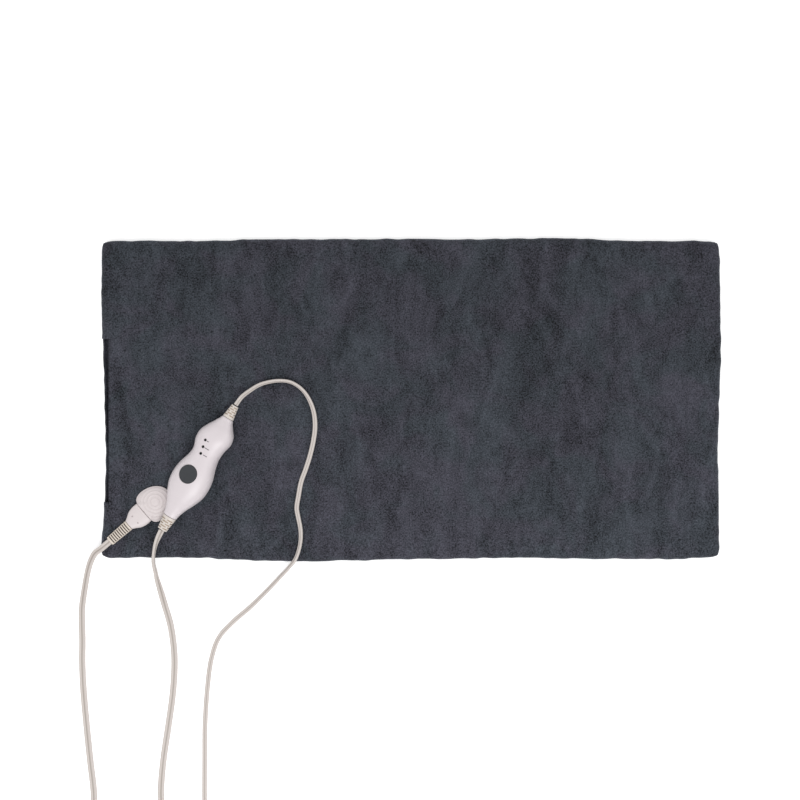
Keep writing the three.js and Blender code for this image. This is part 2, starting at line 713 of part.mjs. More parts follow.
function makeElectronics() {
  const board = roundedRectangle(boardSpan, [-boardHalfWidth, boardHalfWidth], 2);
  const { x, y } = buttonAt;
  const housing = solid(boardPart(x, y, [switchSize, switchSize, switchHeight]));
  const wellFloor = partBase + switchFloor;
  const well = solid(post(plungerRadius + gap, x, y, [wellFloor, switchTop + 1], 12));
  const plunger = post(plungerRadius, x, y, [wellFloor + buttonTravel + 0.5, plungerTop], 12);
  const fuseZ = partBase + boardFuseRadius;
  const pieces = [
    piece('circuit_board', slab(board, [boardTop - boardThickness, boardTop]), 'board'),
    piece('tact_switch', housing.subtract(well), 'chip'),
    piece('tact_plunger', plunger, 'led'),
    piece('triac', boardPart(x, y + triacOffset, triacSize), 'chip'),
    piece('capacitor', boardPart(capacitorAt, 0, capacitorSize), 'film'),
    piece('board_fuse', bar(boardFuseRadius, boardFuseSpan, boardFuseOffset, fuseZ, 12), 'felt'),
    piece('control_chip', boardPart(chipAt.x, chipAt.y, chipSize), 'chip'),
  ];
  const pipeBase = partBase + ledSize[2] + gap;
  lightPlaces().forEach((place, i) => {
    pieces.push(piece(`led_${i + 1}`, boardPart(place.x, place.y, ledSize), 'led'));
    const pipe = post(lightRadius, place.x, place.y, [pipeBase, faceHeight(place.x, place.y) - 0.2], 12);
    pieces.push(piece(`light_pipe_${i + 1}`, pipe, 'lens'));
  });
  return pieces;
}

// A strain relief with its ribbed sleeve along -X, a neck through the case wall and a flange behind it.
function reliefProfile(length, radii, wall) {
  const neck = reliefNeck * radii[0];
  const flange = neck + reliefFlange;
  const behind = wall + gap;
  const ribbed = ribs([gap, length], radii, 5, 0.8).map(([x, radius]) => [-x, radius]).reverse();
  return [
    [-length, 0], [-length, radii[1]], ...ribbed,
    [-gap, neck], [behind, neck], [behind, flange], [behind + 1.4, flange], [behind + 1.4, 0],
  ];
}

function makeReliefs() {
  const [start, end] = controllerBody;
  const shape = (length, radii) => {
    return turned(reliefProfile(length, radii, controllerWall)).scale(1, 1, reliefFlatness);
  };
  const padEnd = shape(start, padReliefRadii);
  const mainsEnd = shape(controllerEnd - end, mainsReliefRadii);
  return [
    piece('controller_relief_pad', padEnd.translate(start, 0, 0), 'cord'),
    piece('controller_relief_mains', mainsEnd.rotateZ(Math.PI).translate(end, 0, 0), 'cord'),
  ];
}

// ---- Leads -------------------------------------------------------------------------------------------
// Routes are [x, y, z] from the pad's lower left corner.

const controllerZ = padTop + gap + rolledDepth();

const padLeadRoute = [
  [59.5, 29.6, controllerZ], [56.2, 23.4, controllerZ - 1.3], [53.0, 16.2, controllerZ - 4],
  [50.6, 8, onPad + 2], [49.4, 0, onPad + 0.2], [49.3, -6, onPad - 3], [49.6, -13, onFloor + 3],
  [50.6, -21, onFloor], [54.4, -34, onFloor], [58.4, -48, onFloor], [63.6, -66, onFloor],
  [66.6, -84, onFloor], [68, -104, onFloor], [66.5, -134, onFloor], [62, -168, onFloor],
  [57, -202, onFloor], [54.5, -232, onFloor], [54.5, -262, onFloor], [46, -284, onFloor],
  [22, -294.5, onFloor], [-2, -284, onFloor], [-11, -262, onFloor], [-13, -232, onFloor],
  [-16.5, -202, onFloor], [-20, -168, onFloor], [-23, -134, onFloor], [-24.4, -104, onFloor],
  [-24.2, -84, onFloor], [-24.6, -66, onFloor], [-24.4, -50, onFloor], [-21.6, -30, onFloor],
  [-18, -12, onFloor + 1], [-14.6, -3, onFloor + 4], [-9.6, 5, onPad - 5], [-2, 10.6, onPad],
  [6.5, 17.6, onPad + 0.6],
];

const mainsLeadRoute = [
  [132.1, 152.4, controllerZ], [137.8, 160.4, controllerZ - 1.4], [145.6, 166.8, controllerZ - 4.6],
  [156, 173.1, onPad + 1.2], [173.2, 176.6, onPad], [185.8, 175, onPad], [196.5, 168, onPad],
  [203.6, 158.1, onPad], [208.1, 145.8, onPad], [209.5, 131.7, onPad], [207.3, 117.5, onPad],
  [203.7, 103.4, onPad], [199.4, 89.3, onPad], [195.8, 76.9, onPad], [193.1, 62.8, onPad],
  [191.3, 50.4, onPad], [192.8, 41.4, onPad], [194.9, 30.8, onPad], [195.3, 20.2, onPad],
  [193.5, 9.5, onPad], [190, 0, onPad - 0.2], [184.4, -7.4, onPad - 5.5],
  [174.6, -18.4, onFloor + 1.6], [161.6, -32.2, onFloor], [145, -48.6, onFloor],
  [125.4, -65.6, onFloor], [112, -81, onFloor], [104.8, -102, onFloor], [101, -130, onFloor],
  [100.6, -165, onFloor], [103, -200, onFloor], [104.8, -235, onFloor + 1],
  [105, -262.2, onFloor + 3.4],
];

const mainsTailRoute = [
  [168.9, -326.5, 7], [180, -326.4, 5.6], [192, -323.6, 5.6], [204.7, -319.1, 6.5],
];

function cord(name, route) {
  const points = route.map((p) => new THREE.Vector3(...p));
  const extrudePath = new THREE.CatmullRomCurve3(points, false, 'centripetal');
  const steps = Math.max(4, Math.round(extrudePath.getLength() / (6 * cordRadius)));
  return piece(name, new THREE.ExtrudeGeometry(polygon(8, cordRadius), { steps, extrudePath }), 'cord');
}

function makeCoil() {
  const inside = coilRadius - coilHalfWidth;
  const outside = coilRadius + coilHalfWidth;
  const top = coilBase + coilHeight;
  const chamfer = 3;
  const profile = [
    [inside, coilBase + chamfer], [inside + chamfer, coilBase], [outside - chamfer, coilBase],
    [outside, coilBase + chamfer], [outside, top - chamfer], [outside - chamfer, top],
    [inside + chamfer, top], [inside, top - chamfer], [inside, coilBase + chamfer],
  ].map(([radius, z]) => new THREE.Vector2(radius, z));
  const ring = new THREE.LatheGeometry(profile, 28).rotateX(Math.PI / 2);
  ring.translate(coilCentre.x, coilCentre.y, 0);

  const space = gap + 0.1;
  const room = [[-coilHalfWidth - space, coilHalfWidth + space], [coilBase - space, top + space]];
  const band = room.map(([low, high]) => [low - tieThickness, high + tieThickness]);
  const length = [-tieWidth / 2, tieWidth / 2];
  const inner = solid(box(room[0], [-tieWidth, tieWidth], room[1]));
  const tie = solid(box(band[0], length, band[1])).subtract(inner);
  const tiePiece = piece('cord_tie', tie, 'strip');
  tiePiece.position.set(coilRadius * Math.cos(tieAngle), coilRadius * Math.sin(tieAngle), 0);
  tiePiece.position.add(new THREE.Vector3(coilCentre.x, coilCentre.y, 0));
  tiePiece.rotation.z = tieAngle;
  return [piece('mains_coil', ring, 'cord'), tiePiece];
}

// The mains plug is drawn along +X from the cord end of its strain relief.
function makePlug() {
  const z = plugThickness / 2;
  const bodyStart = plugReliefLength + gap;
  const face = bodyStart + plugLength;
  const side = plugWidth / 2;
  const outline = roundedRectangle([bodyStart, face], [-side, side], 4);
  let body = solid(softSlab(outline, [0, plugThickness], plugRound));
  const pieces = [];
  for (const [tag, way] of [['a', 1], ['b', -1]]) {
    const y = (way * bladeSpacing) / 2;
    const blade = (grow, back) => box(
      [face - bladeRoot - back, face + bladeLength],
      [y - bladeThickness / 2 - grow, y + bladeThickness / 2 + grow],
      [z - bladeWidth / 2 - grow, z + bladeWidth / 2 + grow],
    );
    body = body.subtract(solid(blade(gap, gap)));
    pieces.push(piece(`plug_blade_${tag}`, blade(0, 0), 'brass'));
  }
  pieces.push(piece('mains_plug', body, 'cord'));
  const ribbed = ribs([0, plugReliefLength], plugReliefRadii, 6, 0.7);
  const mirrored = ribbed.map(([x, radius]) => [plugReliefLength - x, radius]).reverse();
  const profile = [[0, 0], [0, plugReliefRadii[1]], ...mirrored, [plugReliefLength, 0]];
  pieces.push(piece('mains_plug_relief', turned(profile).translate(0, 0, z), 'cord'));
  return pieces;
}

// ---- Assembly ----------------------------------------------------------------------------------------

const heatingPad = new THREE.Group();
heatingPad.add(...makeCovers(), ...makeClosure(), ...makeLayers(), makeHeatingWire());

const socket = new THREE.Group();
socket.position.set(mouth.x, mouth.y, 0);
socket.rotation.z = socketAngle;
socket.add(...makeSocket(), ...makeConnector());
heatingPad.add(socket);

const controller = new THREE.Group();
controller.rotation.x = -controllerRoll;
controller.add(...makeCase(), makeButton(), ...makeElectronics(), ...makeReliefs());
const controllerPlace = new THREE.Group();
controllerPlace.position.set(left + controllerStart.x, bottom + controllerStart.y, controllerZ);
controllerPlace.rotation.z = controllerHeading;
controllerPlace.add(controller);
heatingPad.add(controllerPlace);

const leads = new THREE.Group();
leads.position.set(left, bottom, 0);
leads.add(cord('pad_lead', padLeadRoute), cord('mains_lead', mainsLeadRoute));
leads.add(cord('mains_tail', mainsTailRoute), ...makeCoil());
const plug = new THREE.Group();
plug.position.set(plugStart.x, plugStart.y, 0);
plug.rotation.z = plugHeading;
plug.add(...makePlug());
leads.add(plug);
heatingPad.add(leads);

export default heatingPad;
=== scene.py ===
# %% [markdown]
# # A plush heating pad
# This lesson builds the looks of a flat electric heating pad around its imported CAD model.
# The pad has a soft cover, a hand controller, a plug-in lead and a coiled mains lead.
# The CAD model is loaded first and never moved, so every new piece is made where it says.

# %% Load the frame
import math

import bmesh
import bpy
import numpy as np
from mathutils import Matrix, Vector
from mathutils.noise import noise


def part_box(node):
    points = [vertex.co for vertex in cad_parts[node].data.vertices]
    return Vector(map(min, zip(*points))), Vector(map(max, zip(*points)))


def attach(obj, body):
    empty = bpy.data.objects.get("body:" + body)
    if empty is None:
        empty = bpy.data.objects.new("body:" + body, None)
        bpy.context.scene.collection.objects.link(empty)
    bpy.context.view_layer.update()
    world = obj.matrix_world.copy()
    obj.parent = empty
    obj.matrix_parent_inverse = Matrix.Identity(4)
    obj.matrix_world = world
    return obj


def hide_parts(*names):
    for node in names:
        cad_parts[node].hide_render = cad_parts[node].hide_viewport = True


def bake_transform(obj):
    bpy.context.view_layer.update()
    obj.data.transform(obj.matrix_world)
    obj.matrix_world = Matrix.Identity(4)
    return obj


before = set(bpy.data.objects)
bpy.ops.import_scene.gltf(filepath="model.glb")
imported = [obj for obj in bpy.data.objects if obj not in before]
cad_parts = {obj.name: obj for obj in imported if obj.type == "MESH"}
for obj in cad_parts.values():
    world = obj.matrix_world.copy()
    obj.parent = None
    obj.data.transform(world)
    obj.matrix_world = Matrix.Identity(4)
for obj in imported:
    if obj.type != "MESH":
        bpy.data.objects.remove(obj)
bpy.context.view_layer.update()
MM = 0.001

# %% [markdown]
# ## The camera
# A product picture of a flat pad is taken from straight above, with the lens far enough away
# that the sides hardly show. The camera stands 1.3 m over the plush, a little left of centre.

# %% Camera
CAMERA_HEIGHT = 1.3
VIEW_WIDTH = 0.7936
VIEW_MIDDLE = -0.0114
SENSOR = 36.0


def new_object(name, data):
    """An object of a mesh, a camera or a light, put in the scene."""
    made = bpy.data.objects.new(name, data)
    bpy.context.collection.objects.link(made)
    return made


pad_low, pad_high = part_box("cover_back")[0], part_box("cover_front")[1]
PAD_TOP = pad_high.z / MM
camera = new_object("camera", bpy.data.cameras.new("camera"))
camera.location = (VIEW_MIDDLE, 0, pad_high.z + CAMERA_HEIGHT)
camera.data.sensor_width = SENSOR
camera.data.lens = SENSOR * CAMERA_HEIGHT / VIEW_WIDTH
bpy.context.scene.camera = camera
print("lens", round(camera.data.lens, 2), "mm, pad top", round(PAD_TOP, 2), "mm")

# %% [markdown]
# ## Cord routes
# Each lead is a flat twin cord of known length. Its route is a short list of points, measured
# in millimetres from the pad's lower left corner, and one smooth curve is drawn through them.
# The curve is the centripetal kind, because it never loops or overshoots between close points.

# %% Smooth curves through points
CORNER = Vector((pad_low.x, pad_low.y, 0)) / MM
PAD_TWIN = (6.4, 1.35)
MAINS_TWIN = (4.8, 1.3)
GAP = 0.3
ROUTE_RADIUS = 2.5
ON_PAD = PAD_TOP + GAP + ROUTE_RADIUS
ON_FLOOR = GAP + ROUTE_RADIUS
CURVE_STEPS = 40


def eased(t):
    """0 below 0, 1 above 1 and smooth between, for a number or an array."""
    t = np.clip(t, 0, 1)
    return t * t * (3 - 2 * t)


def smooth_curve(points, step):
    """Evenly spaced points, about step apart, on the centripetal curve through points."""
    p = [Vector(q) for q in points]
    p = [2 * p[0] - p[1], *p, 2 * p[-1] - p[-2]]
    line = []
    for a, b, c, d in zip(p, p[1:], p[2:], p[3:]):
        t1 = (b - a).length ** 0.5
        t2 = t1 + (c - b).length ** 0.5
        t3 = t2 + (d - c).length ** 0.5
        for i in range(CURVE_STEPS):
            t = t1 + (t2 - t1) * i / CURVE_STEPS
            ab = a.lerp(b, t / t1)
            bc = b.lerp(c, (t - t1) / (t2 - t1))
            cd = c.lerp(d, (t - t2) / (t3 - t2))
            abc = ab.lerp(bc, t / t2)
            bcd = bc.lerp(cd, (t - t1) / (t3 - t1))
            line.append(abc.lerp(bcd, (t - t1) / (t2 - t1)))
    line.append(p[-2])
    return evenly(np.array(line), step)


def evenly(line, step):
    """The same line with points an equal distance apart."""
    along = np.r_[0, np.cumsum(np.linalg.norm(np.diff(line, axis=0), axis=1))]
    count = max(2, round(along[-1] / step) + 1)
    where = np.linspace(0, along[-1], count)
    return np.stack([np.interp(where, along, line[:, k]) for k in range(3)], 1)


def length_of(line):
    return float(np.linalg.norm(np.diff(line, axis=0), axis=1).sum())


def from_corner(points):
    return [CORNER + Vector(p) for p in points]


# %% The pad lead's route
PAD_LEAD = [
    (59.5, 29.6, 24.9), (56.2, 23.4, 23.6), (53.0, 16.2, 20.9), (50.6, 8, ON_PAD + 2),
    (49.4, 0, ON_PAD + 0.2), (49.3, -6, ON_PAD - 3), (49.6, -13, ON_FLOOR + 3),
    (50.6, -21, ON_FLOOR), (54.4, -34, ON_FLOOR), (58.4, -48, ON_FLOOR),
    (63.6, -66, ON_FLOOR), (66.6, -84, ON_FLOOR), (68, -104, ON_FLOOR),
    (66.5, -134, ON_FLOOR), (62, -168, ON_FLOOR), (57, -202, ON_FLOOR),
    (54.5, -232, ON_FLOOR), (54.5, -262, ON_FLOOR), (46, -284, ON_FLOOR),
    (22, -294.5, ON_FLOOR), (-2, -284, ON_FLOOR), (-11, -262, ON_FLOOR),
    (-13, -232, ON_FLOOR), (-16.5, -202, ON_FLOOR), (-20, -168, ON_FLOOR),
    (-23, -134, ON_FLOOR), (-24.4, -104, ON_FLOOR), (-24.2, -84, ON_FLOOR),
    (-24.6, -66, ON_FLOOR), (-24.4, -50, ON_FLOOR), (-21.6, -30, ON_FLOOR),
    (-18, -12, ON_FLOOR + 1), (-14.6, -3, ON_FLOOR + 4), (-9.6, 5, ON_PAD - 5),
    (-2, 10.6, ON_PAD), (6.5, 17.6, ON_PAD + 0.6),
]
pad_line = smooth_curve(from_corner(PAD_LEAD), 2.5)
print("pad lead", round(length_of(pad_line)), "mm")

# %% The mains lead's route and its coil
MAINS_LEAD = [
    (132.1, 152.4, 24.9), (137.8, 160.4, 23.5), (145.6, 166.8, 20.3),
    (156, 173.1, ON_PAD + 1.2), (173.2, 176.6, ON_PAD), (185.8, 175, ON_PAD),
    (196.5, 168, ON_PAD), (203.6, 158.1, ON_PAD), (208.1, 145.8, ON_PAD),
    (209.5, 131.7, ON_PAD), (207.9, 117.5, ON_PAD), (204.7, 103.4, ON_PAD),
    (200.3, 89.3, ON_PAD), (195.8, 76.9, ON_PAD), (193.1, 62.8, ON_PAD),
    (191.3, 50.4, ON_PAD), (192.8, 41.4, ON_PAD), (194.9, 30.8, ON_PAD),
    (195.3, 20.2, ON_PAD), (193.5, 9.5, ON_PAD + 0.1), (190, 0, ON_PAD - 0.3),
    (184.4, -7.4, ON_PAD - 3.2), (174.6, -18.4, ON_FLOOR + 3),
    (161.6, -32.2, ON_FLOOR + 0.2), (145, -48.6, ON_FLOOR), (125.4, -65.6, ON_FLOOR),
    (112, -81, ON_FLOOR), (104.8, -102, ON_FLOOR), (101, -130, ON_FLOOR),
    (98.6, -165, ON_FLOOR), (98.2, -200, ON_FLOOR), (98.2, -240, ON_FLOOR),
    (98.2, -270, ON_FLOOR),
]
COIL_CENTRE = Vector((139, -292.5, 0))
COIL_OUTER = 40.8
COIL_PITCH = 6.6
LAYER_LOW = GAP + MAINS_TWIN[1]
LAYER_HIGH = LAYER_LOW + 2 * MAINS_TWIN[1] + 0.1
LAYER_TURNS = (2.5, 2.75)
TURN_STEPS = 24
TIE_ANGLE, TIE_LIFT, TIE_SPREAD = math.radians(35), 1.05, 0.85
CLIMB_START, CLIMB_TURNS = 0.3, 0.5


def coil_points():
    """Two flat layers of turns: the lower winds inwards and the upper winds out again."""
    low, high = LAYER_TURNS
    inner = COIL_OUTER - COIL_PITCH * low
    points = []
    steps = round((low + high) * TURN_STEPS)
    for i in range(steps + 1):
        turn = i / TURN_STEPS
        angle = math.pi + 2 * math.pi * turn
        if turn < low:
            radius = COIL_OUTER - COIL_PITCH * turn
        else:
            radius = inner + COIL_PITCH * (turn - low)
        climb = eased((turn - low + CLIMB_START) / CLIMB_TURNS)
        z = LAYER_LOW + (LAYER_HIGH - LAYER_LOW) * climb
        from_tie = math.remainder(angle - TIE_ANGLE, 2 * math.pi)
        z += TIE_LIFT * math.exp(-(from_tie / TIE_SPREAD) ** 2)
        out = Vector((math.cos(angle), math.sin(angle), 0))
        points.append(COIL_CENTRE + radius * out + Vector((0, 0, z)))
    return points


COIL = coil_points()
TAIL = [(176, -326.8, 5.2), (190, -324.2, 5.6), (204.7, -319.1, 6.5)]
mains_line = smooth_curve(from_corner(MAINS_LEAD + COIL[1:] + TAIL), 3.0)
print("mains lead", round(length_of(mains_line)), "mm in all, with",
      sum(LAYER_TURNS), "turns in its coil")
# %% [markdown]
# ## Turning a shape into a piece
# Every shape below is drawn in millimetres, in a small frame of its own, where it is easy to
# think about. One helper then puts it in its place, in metres, and marks its crisp edges.
# The object itself stays at the origin, as the CAD pieces do.

# %% Finished pieces
CRISP = math.radians(38)


def finish_piece(name, bm, place, material, body, stands_for=(), crisp=CRISP):
    """Puts a millimetre shape in its place as a piece that rides on a body."""
    bm.transform(Matrix.Scale(MM, 4) @ place)
    for edge in bm.edges:
        edge.smooth = len(edge.link_faces) == 2 and edge.calc_face_angle(0) < crisp
    for face in bm.faces:
        face.smooth = True
    mesh = bpy.data.meshes.new(name)
    bm.to_mesh(mesh)
    bm.free()
    made = new_object(name, mesh)
    made.data.materials.append(material)
    if body:
        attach(made, body)
    if stands_for:
        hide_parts(*stands_for)
    print(name, len(mesh.polygons), "faces")
    return made


# %% [markdown]
# ## Ways to make a skin
# Moulded shells, reliefs and discs are all one closed skin round an axis. A flat grid has the
# right faces already, so each of its points is moved to its place on the skin and the seam is
# merged. A turned profile is spun instead, and hollows are cut with a Boolean, as a moulder's
# core would leave them.

# %% Skins, turned shapes and blocks
def wrapped(across, along, place, groove=None):
    """A closed skin. place(turn, share) puts each point of a grid; turn goes once round."""
    bm = bmesh.new()
    bmesh.ops.create_grid(bm, x_segments=across, y_segments=along, size=0.5)
    layer = bm.verts.layers.float.new("groove") if groove else None
    for v in bm.verts:
        turn, share = v.co.x + 0.5, v.co.y + 0.5
        if groove:
            v[layer] = groove(turn % 1.0, share)
        v.co = Vector(place(turn % 1.0, share))
    bmesh.ops.remove_doubles(bm, verts=bm.verts, dist=1e-4)
    bmesh.ops.recalc_face_normals(bm, faces=bm.faces)
    return bm


def turned(profile, steps=64):
    """A solid of (radius, height) points spun about Z; it starts and ends on the axis."""
    bm = bmesh.new()
    verts = [bm.verts.new((r, 0, z)) for r, z in profile]
    edges = [bm.edges.new(pair) for pair in zip(verts, verts[1:])]
    bmesh.ops.spin(bm, geom=verts + edges, cent=(0, 0, 0), axis=(0, 0, 1),
                   angle=2 * math.pi, steps=steps, use_merge=True, use_duplicate=False)
    bmesh.ops.remove_doubles(bm, verts=bm.verts, dist=1e-4)
    bmesh.ops.recalc_face_normals(bm, faces=bm.faces)
    return bm


def block(low, high, round_edges=0.0, segments=3):
    """A box from low to high, with rounded edges."""
    bm = bmesh.new()
    bmesh.ops.create_cube(bm, size=1)
    low, high = Vector(low), Vector(high)
    size = Matrix.Diagonal((*(high - low), 1))
    bm.transform(Matrix.Translation((low + high) / 2) @ size)
    if round_edges:
        bmesh.ops.bevel(bm, geom=bm.edges, offset=round_edges, segments=segments,
                        profile=0.5, affect="EDGES", material=-1)
    return bm


def post(radius, x, y, low, high, steps=48):
    bm = turned([(0, low), (radius, low), (radius, high), (0, high)], steps)
    bm.transform(Matrix.Translation((x, y, 0)))
    return bm


def joined(*shapes):
    """Several separate shapes in one bmesh."""
    first = shapes[0]
    for other in shapes[1:]:
        spare = bpy.data.meshes.new("spare")
        other.to_mesh(spare)
        other.free()
        first.from_mesh(spare)
        bpy.data.meshes.remove(spare)
    return first


def carved(bm, tool, operation="DIFFERENCE"):
    """The first shape with the second cut away, or added to it."""
    held = []
    for shape in (bm, tool):
        mesh = bpy.data.meshes.new("carving")
        shape.to_mesh(mesh)
        shape.free()
        held.append(new_object("carving", mesh))
    cut = held[0].modifiers.new("cut", "BOOLEAN")
    cut.object = held[1]
    cut.operation = operation
    cut.solver = "EXACT"
    result = bmesh.new()
    bpy.context.view_layer.update()
    result.from_object(held[0], bpy.context.evaluated_depsgraph_get())
    for o in held:
        mesh = o.data
        bpy.data.objects.remove(o)
        bpy.data.meshes.remove(mesh)
    return result


def smooth_step(x, low, high):
    return eased((x - low) / (high - low))


def capped(share, end_cap):
    """How far along its body a share of a skin is, and how far its flat end has closed."""
    along = min(1.0, max(0.0, (share - end_cap) / (1 - 2 * end_cap)))
    return along, min(1.0, share / end_cap, (1 - share) / end_cap)


def rounding(edge, radius):
    """How far a rounded edge draws a skin in, at a distance from the edge."""
    return radius - math.sqrt(max(0.0, radius ** 2 - (radius - min(edge, radius)) ** 2))


def signed_power(value, power):
    return math.copysign(abs(value) ** power, value)


# %% [markdown]
# ## Writing finishes as sums
# A finish is a material whose colour and bump come from nodes. Sums of noise are easier to
# read as Python than as a web of boxes, so a small class wraps a node's output and adds the
# Math node for each +, -, * or /. Every other node comes from one method.

# %% The finish and value classes
def rgb(red, green, blue):
    """A colour as seen, 0 to 255, as the linear colour that Blender mixes."""
    def linear(c):
        c /= 255
        return c / 12.92 if c <= 0.04045 else ((c + 0.055) / 1.055) ** 2.4
    return (linear(red), linear(green), linear(blue), 1.0)


class Value:
    """The output of a node, with Python's arithmetic."""

    def __init__(self, owner, socket):
        self.owner, self.socket = owner, socket

    def maths(self, operation, *inputs, clamp=False):
        settings = {"operation": operation, "use_clamp": clamp}
        return self.owner.node("Math", settings, dict(enumerate(inputs)))

    def __add__(self, other):
        return self.maths("ADD", self, other)

    def __sub__(self, other):
        return self.maths("SUBTRACT", self, other)

    def __rsub__(self, other):
        return self.maths("SUBTRACT", other, self)

    def __mul__(self, other):
        return self.maths("MULTIPLY", self, other)

    def __truediv__(self, other):
        return self.maths("DIVIDE", self, other)

    def __rtruediv__(self, other):
        return self.maths("DIVIDE", other, self)

    def step(self, low, high):
        """0 below low, 1 above high, smooth between."""
        return self.owner.node(
            "MapRange", {"interpolation_type": "SMOOTHSTEP"},
            {"Value": self, "From Min": low, "From Max": high})

    __radd__ = __add__
    __rmul__ = __mul__


class Finish:
    """A material: constants go straight on the shader, what varies is linked to it."""

    def __init__(self, name, **constants):
        self.material = bpy.data.materials.new(name)
        self.material.use_nodes = True
        self.tree = self.material.node_tree
        self.shader = self.tree.nodes["Principled BSDF"]
        for socket, value in constants.items():
            self.shader.inputs[socket.replace("_", " ")].default_value = value
        self.place = self.node("TexCoord", output="Object")

    def node(self, kind, settings=None, inputs=None, output=0):
        made = self.tree.nodes.new("ShaderNode" + kind)
        for key, value in (settings or {}).items():
            setattr(made, key, value)
        for key, value in (inputs or {}).items():
            if isinstance(value, Value):
                self.tree.links.new(value.socket, made.inputs[key])
            else:
                made.inputs[key].default_value = value
        return Value(self, made.outputs[output])

    def stretched(self, scale=(1, 1, 1), turn=(0, 0, 0)):
        """Object coordinates, turned and stretched."""
        return self.node("Mapping", None,
                         {"Vector": self.place, "Rotation": turn, "Scale": scale})

    def noise(self, scale, detail=2.0, roughness=0.5, place=None, distortion=0.0):
        return self.node("TexNoise", None, {
            "Vector": place or self.place, "Scale": scale, "Detail": detail,
            "Roughness": roughness, "Distortion": distortion})

    def attribute(self, name):
        return self.node("Attribute", {"attribute_name": name}, output="Fac")

    def axis(self, name):
        return self.node("SeparateXYZ", None, {0: self.place}, output=name)

    def mix(self, factor, a, b, kind="MIX"):
        settings = {"data_type": "RGBA", "blend_type": kind}
        return self.node("Mix", settings, {0: factor, 6: a, 7: b}, output=2)

    def tinted(self, colour, shade):
        """The colour made lighter or darker by a value round 1."""
        grey = self.node("CombineColor", None, {0: shade, 1: shade, 2: shade})
        return self.mix(1.0, colour, grey, "MULTIPLY")

    def bump(self, height, distance, strength=1.0):
        return self.node("Bump", None, {
            "Height": height, "Distance": distance, "Strength": strength})

    def feed(self, **links):
        for socket, value in links.items():
            self.tree.links.new(value.socket, self.shader.inputs[socket.replace("_", " ")])
        return self.material
# %% [markdown]
# ## The plush
# Brushed microfibre is matt. Its colour is a dark slate with three sizes of noise in it:
# hand-sized strokes where the pile is brushed, small mottling and the grain of the pile. The
# whole cover is also painted lighter towards its front edge, at low Y: a painted light gradient,
# as if more light fell on that side. Sheen gives the pale edge that velvet shows at a low angle.
# The little welds that hold the layers are faint darker dots, and fade where the pile is brushed
# up.

# %% Plush
WELD_STEP = (14.3, 18.7)
WELD_FIRST = (-227.2, 105.2)
WELD_LAST = (290, 143)
WELD_DOT = (0.5, 1.9)


def weld_rows(cloth):
    """1 at each little weld of a square grid, 0 between them and along the edges."""
    away, inner = [], 1.0
    for name, step, first, last in zip("XY", WELD_STEP, WELD_FIRST, WELD_LAST):
        along = cloth.axis(name) / MM
        place = (along - first) / step + 0.5
        away.append((place.maths("FRACT", place) - 0.5) * step)
        inner = inner * (1.0 - along.maths("ABSOLUTE", along).step(last - 6, last))
    squares = away[0] * away[0] + away[1] * away[1]
    reach = squares.maths("SQRT", squares)
    return inner * (1.0 - reach.step(*WELD_DOT))


SLATE_COOL, SLATE_WARM = rgb(54, 58, 64), rgb(58, 58, 66)


def plush_finish():
    cloth = Finish("slate_plush", Roughness=0.95, Sheen_Weight=0.35, Sheen_Roughness=0.4,
                   Sheen_Tint=rgb(170, 176, 190), Specular_IOR_Level=0.2)
    strokes = cloth.noise(26, 3, 0.55, cloth.stretched((1.5, 0.7, 1), (0, 0, 0.12)), 0.9)
    mottle = cloth.noise(110, 3, 0.6, cloth.stretched((1.3, 0.7, 1)), 0.5)
    grain = cloth.noise(640, 3, 0.8, cloth.stretched((1.1, 1, 1)))
    tint = cloth.noise(21, 2, 0.6, cloth.stretched((1, 1, 1), (0, 0, 1.2)), 0.6)
    strength = (1.6, 1.0, 5.0)
    shade = 1.0 + ((strokes - 0.5) * strength[0] + (mottle - 0.5) * strength[1]
                   + (grain - 0.5) * strength[2])
    # Painted light: the cover is painted lighter towards its front edge (low Y), as if lit from
    # that side.
    lean = cloth.axis("Y") * -0.72 + 0.98
    combed = (cloth.axis("X") * -0.6 + mottle + strokes * 0.5).step(0.72, 1.0)
    weld = weld_rows(cloth) * (0.08 + combed * 0.92)
    shade = shade * lean * (1.0 - weld * 0.5)
    height = grain * 0.8 + mottle * 0.5 - weld * 0.6
    colour = cloth.mix(tint.step(0.38, 0.62), SLATE_COOL, SLATE_WARM)
    return cloth.feed(Base_Color=cloth.tinted(colour, shade),
                      Normal=cloth.bump(height, 0.0016, 0.6))


PLUSH = plush_finish()

# %% [markdown]
# ## Moulded plastic and cord
# The controller is a glossy, faintly pink pearl plastic. The leads are a softer, warmer PVC.
# Both have a weak, slow variation of tone and a very fine bump, which breaks up highlights
# as real mouldings do. The groove of a twin lead and the slots of a strain relief get a darker,
# browner colour: painted shade in these recesses, darkest in the slots of the plug's relief.

# %% Plastics
def plastic_finish(name, colour, roughness, uneven=0.06, grain=900, depth=0.00004,
                   groove_shade_colour=None, **constants):
    plastic = Finish(name, Roughness=roughness, **constants)
    slow = plastic.noise(38, 3, 0.55)
    fine = plastic.noise(grain, 2, 0.5)
    shade = 1.0 - uneven / 2 + slow * uneven + fine * (uneven * 0.3)
    colour = plastic.tinted(colour, shade)
    # The groove attribute marks a lead's groove and a relief's slots; painted shade darkens the
    # colour there.
    if groove_shade_colour:
        colour = plastic.mix(plastic.attribute("groove"), colour, groove_shade_colour)
    gloss = roughness - 0.05 + slow * 0.10
    return plastic.feed(Base_Color=colour, Roughness=gloss,
                        Normal=plastic.bump(fine, depth, 0.5))


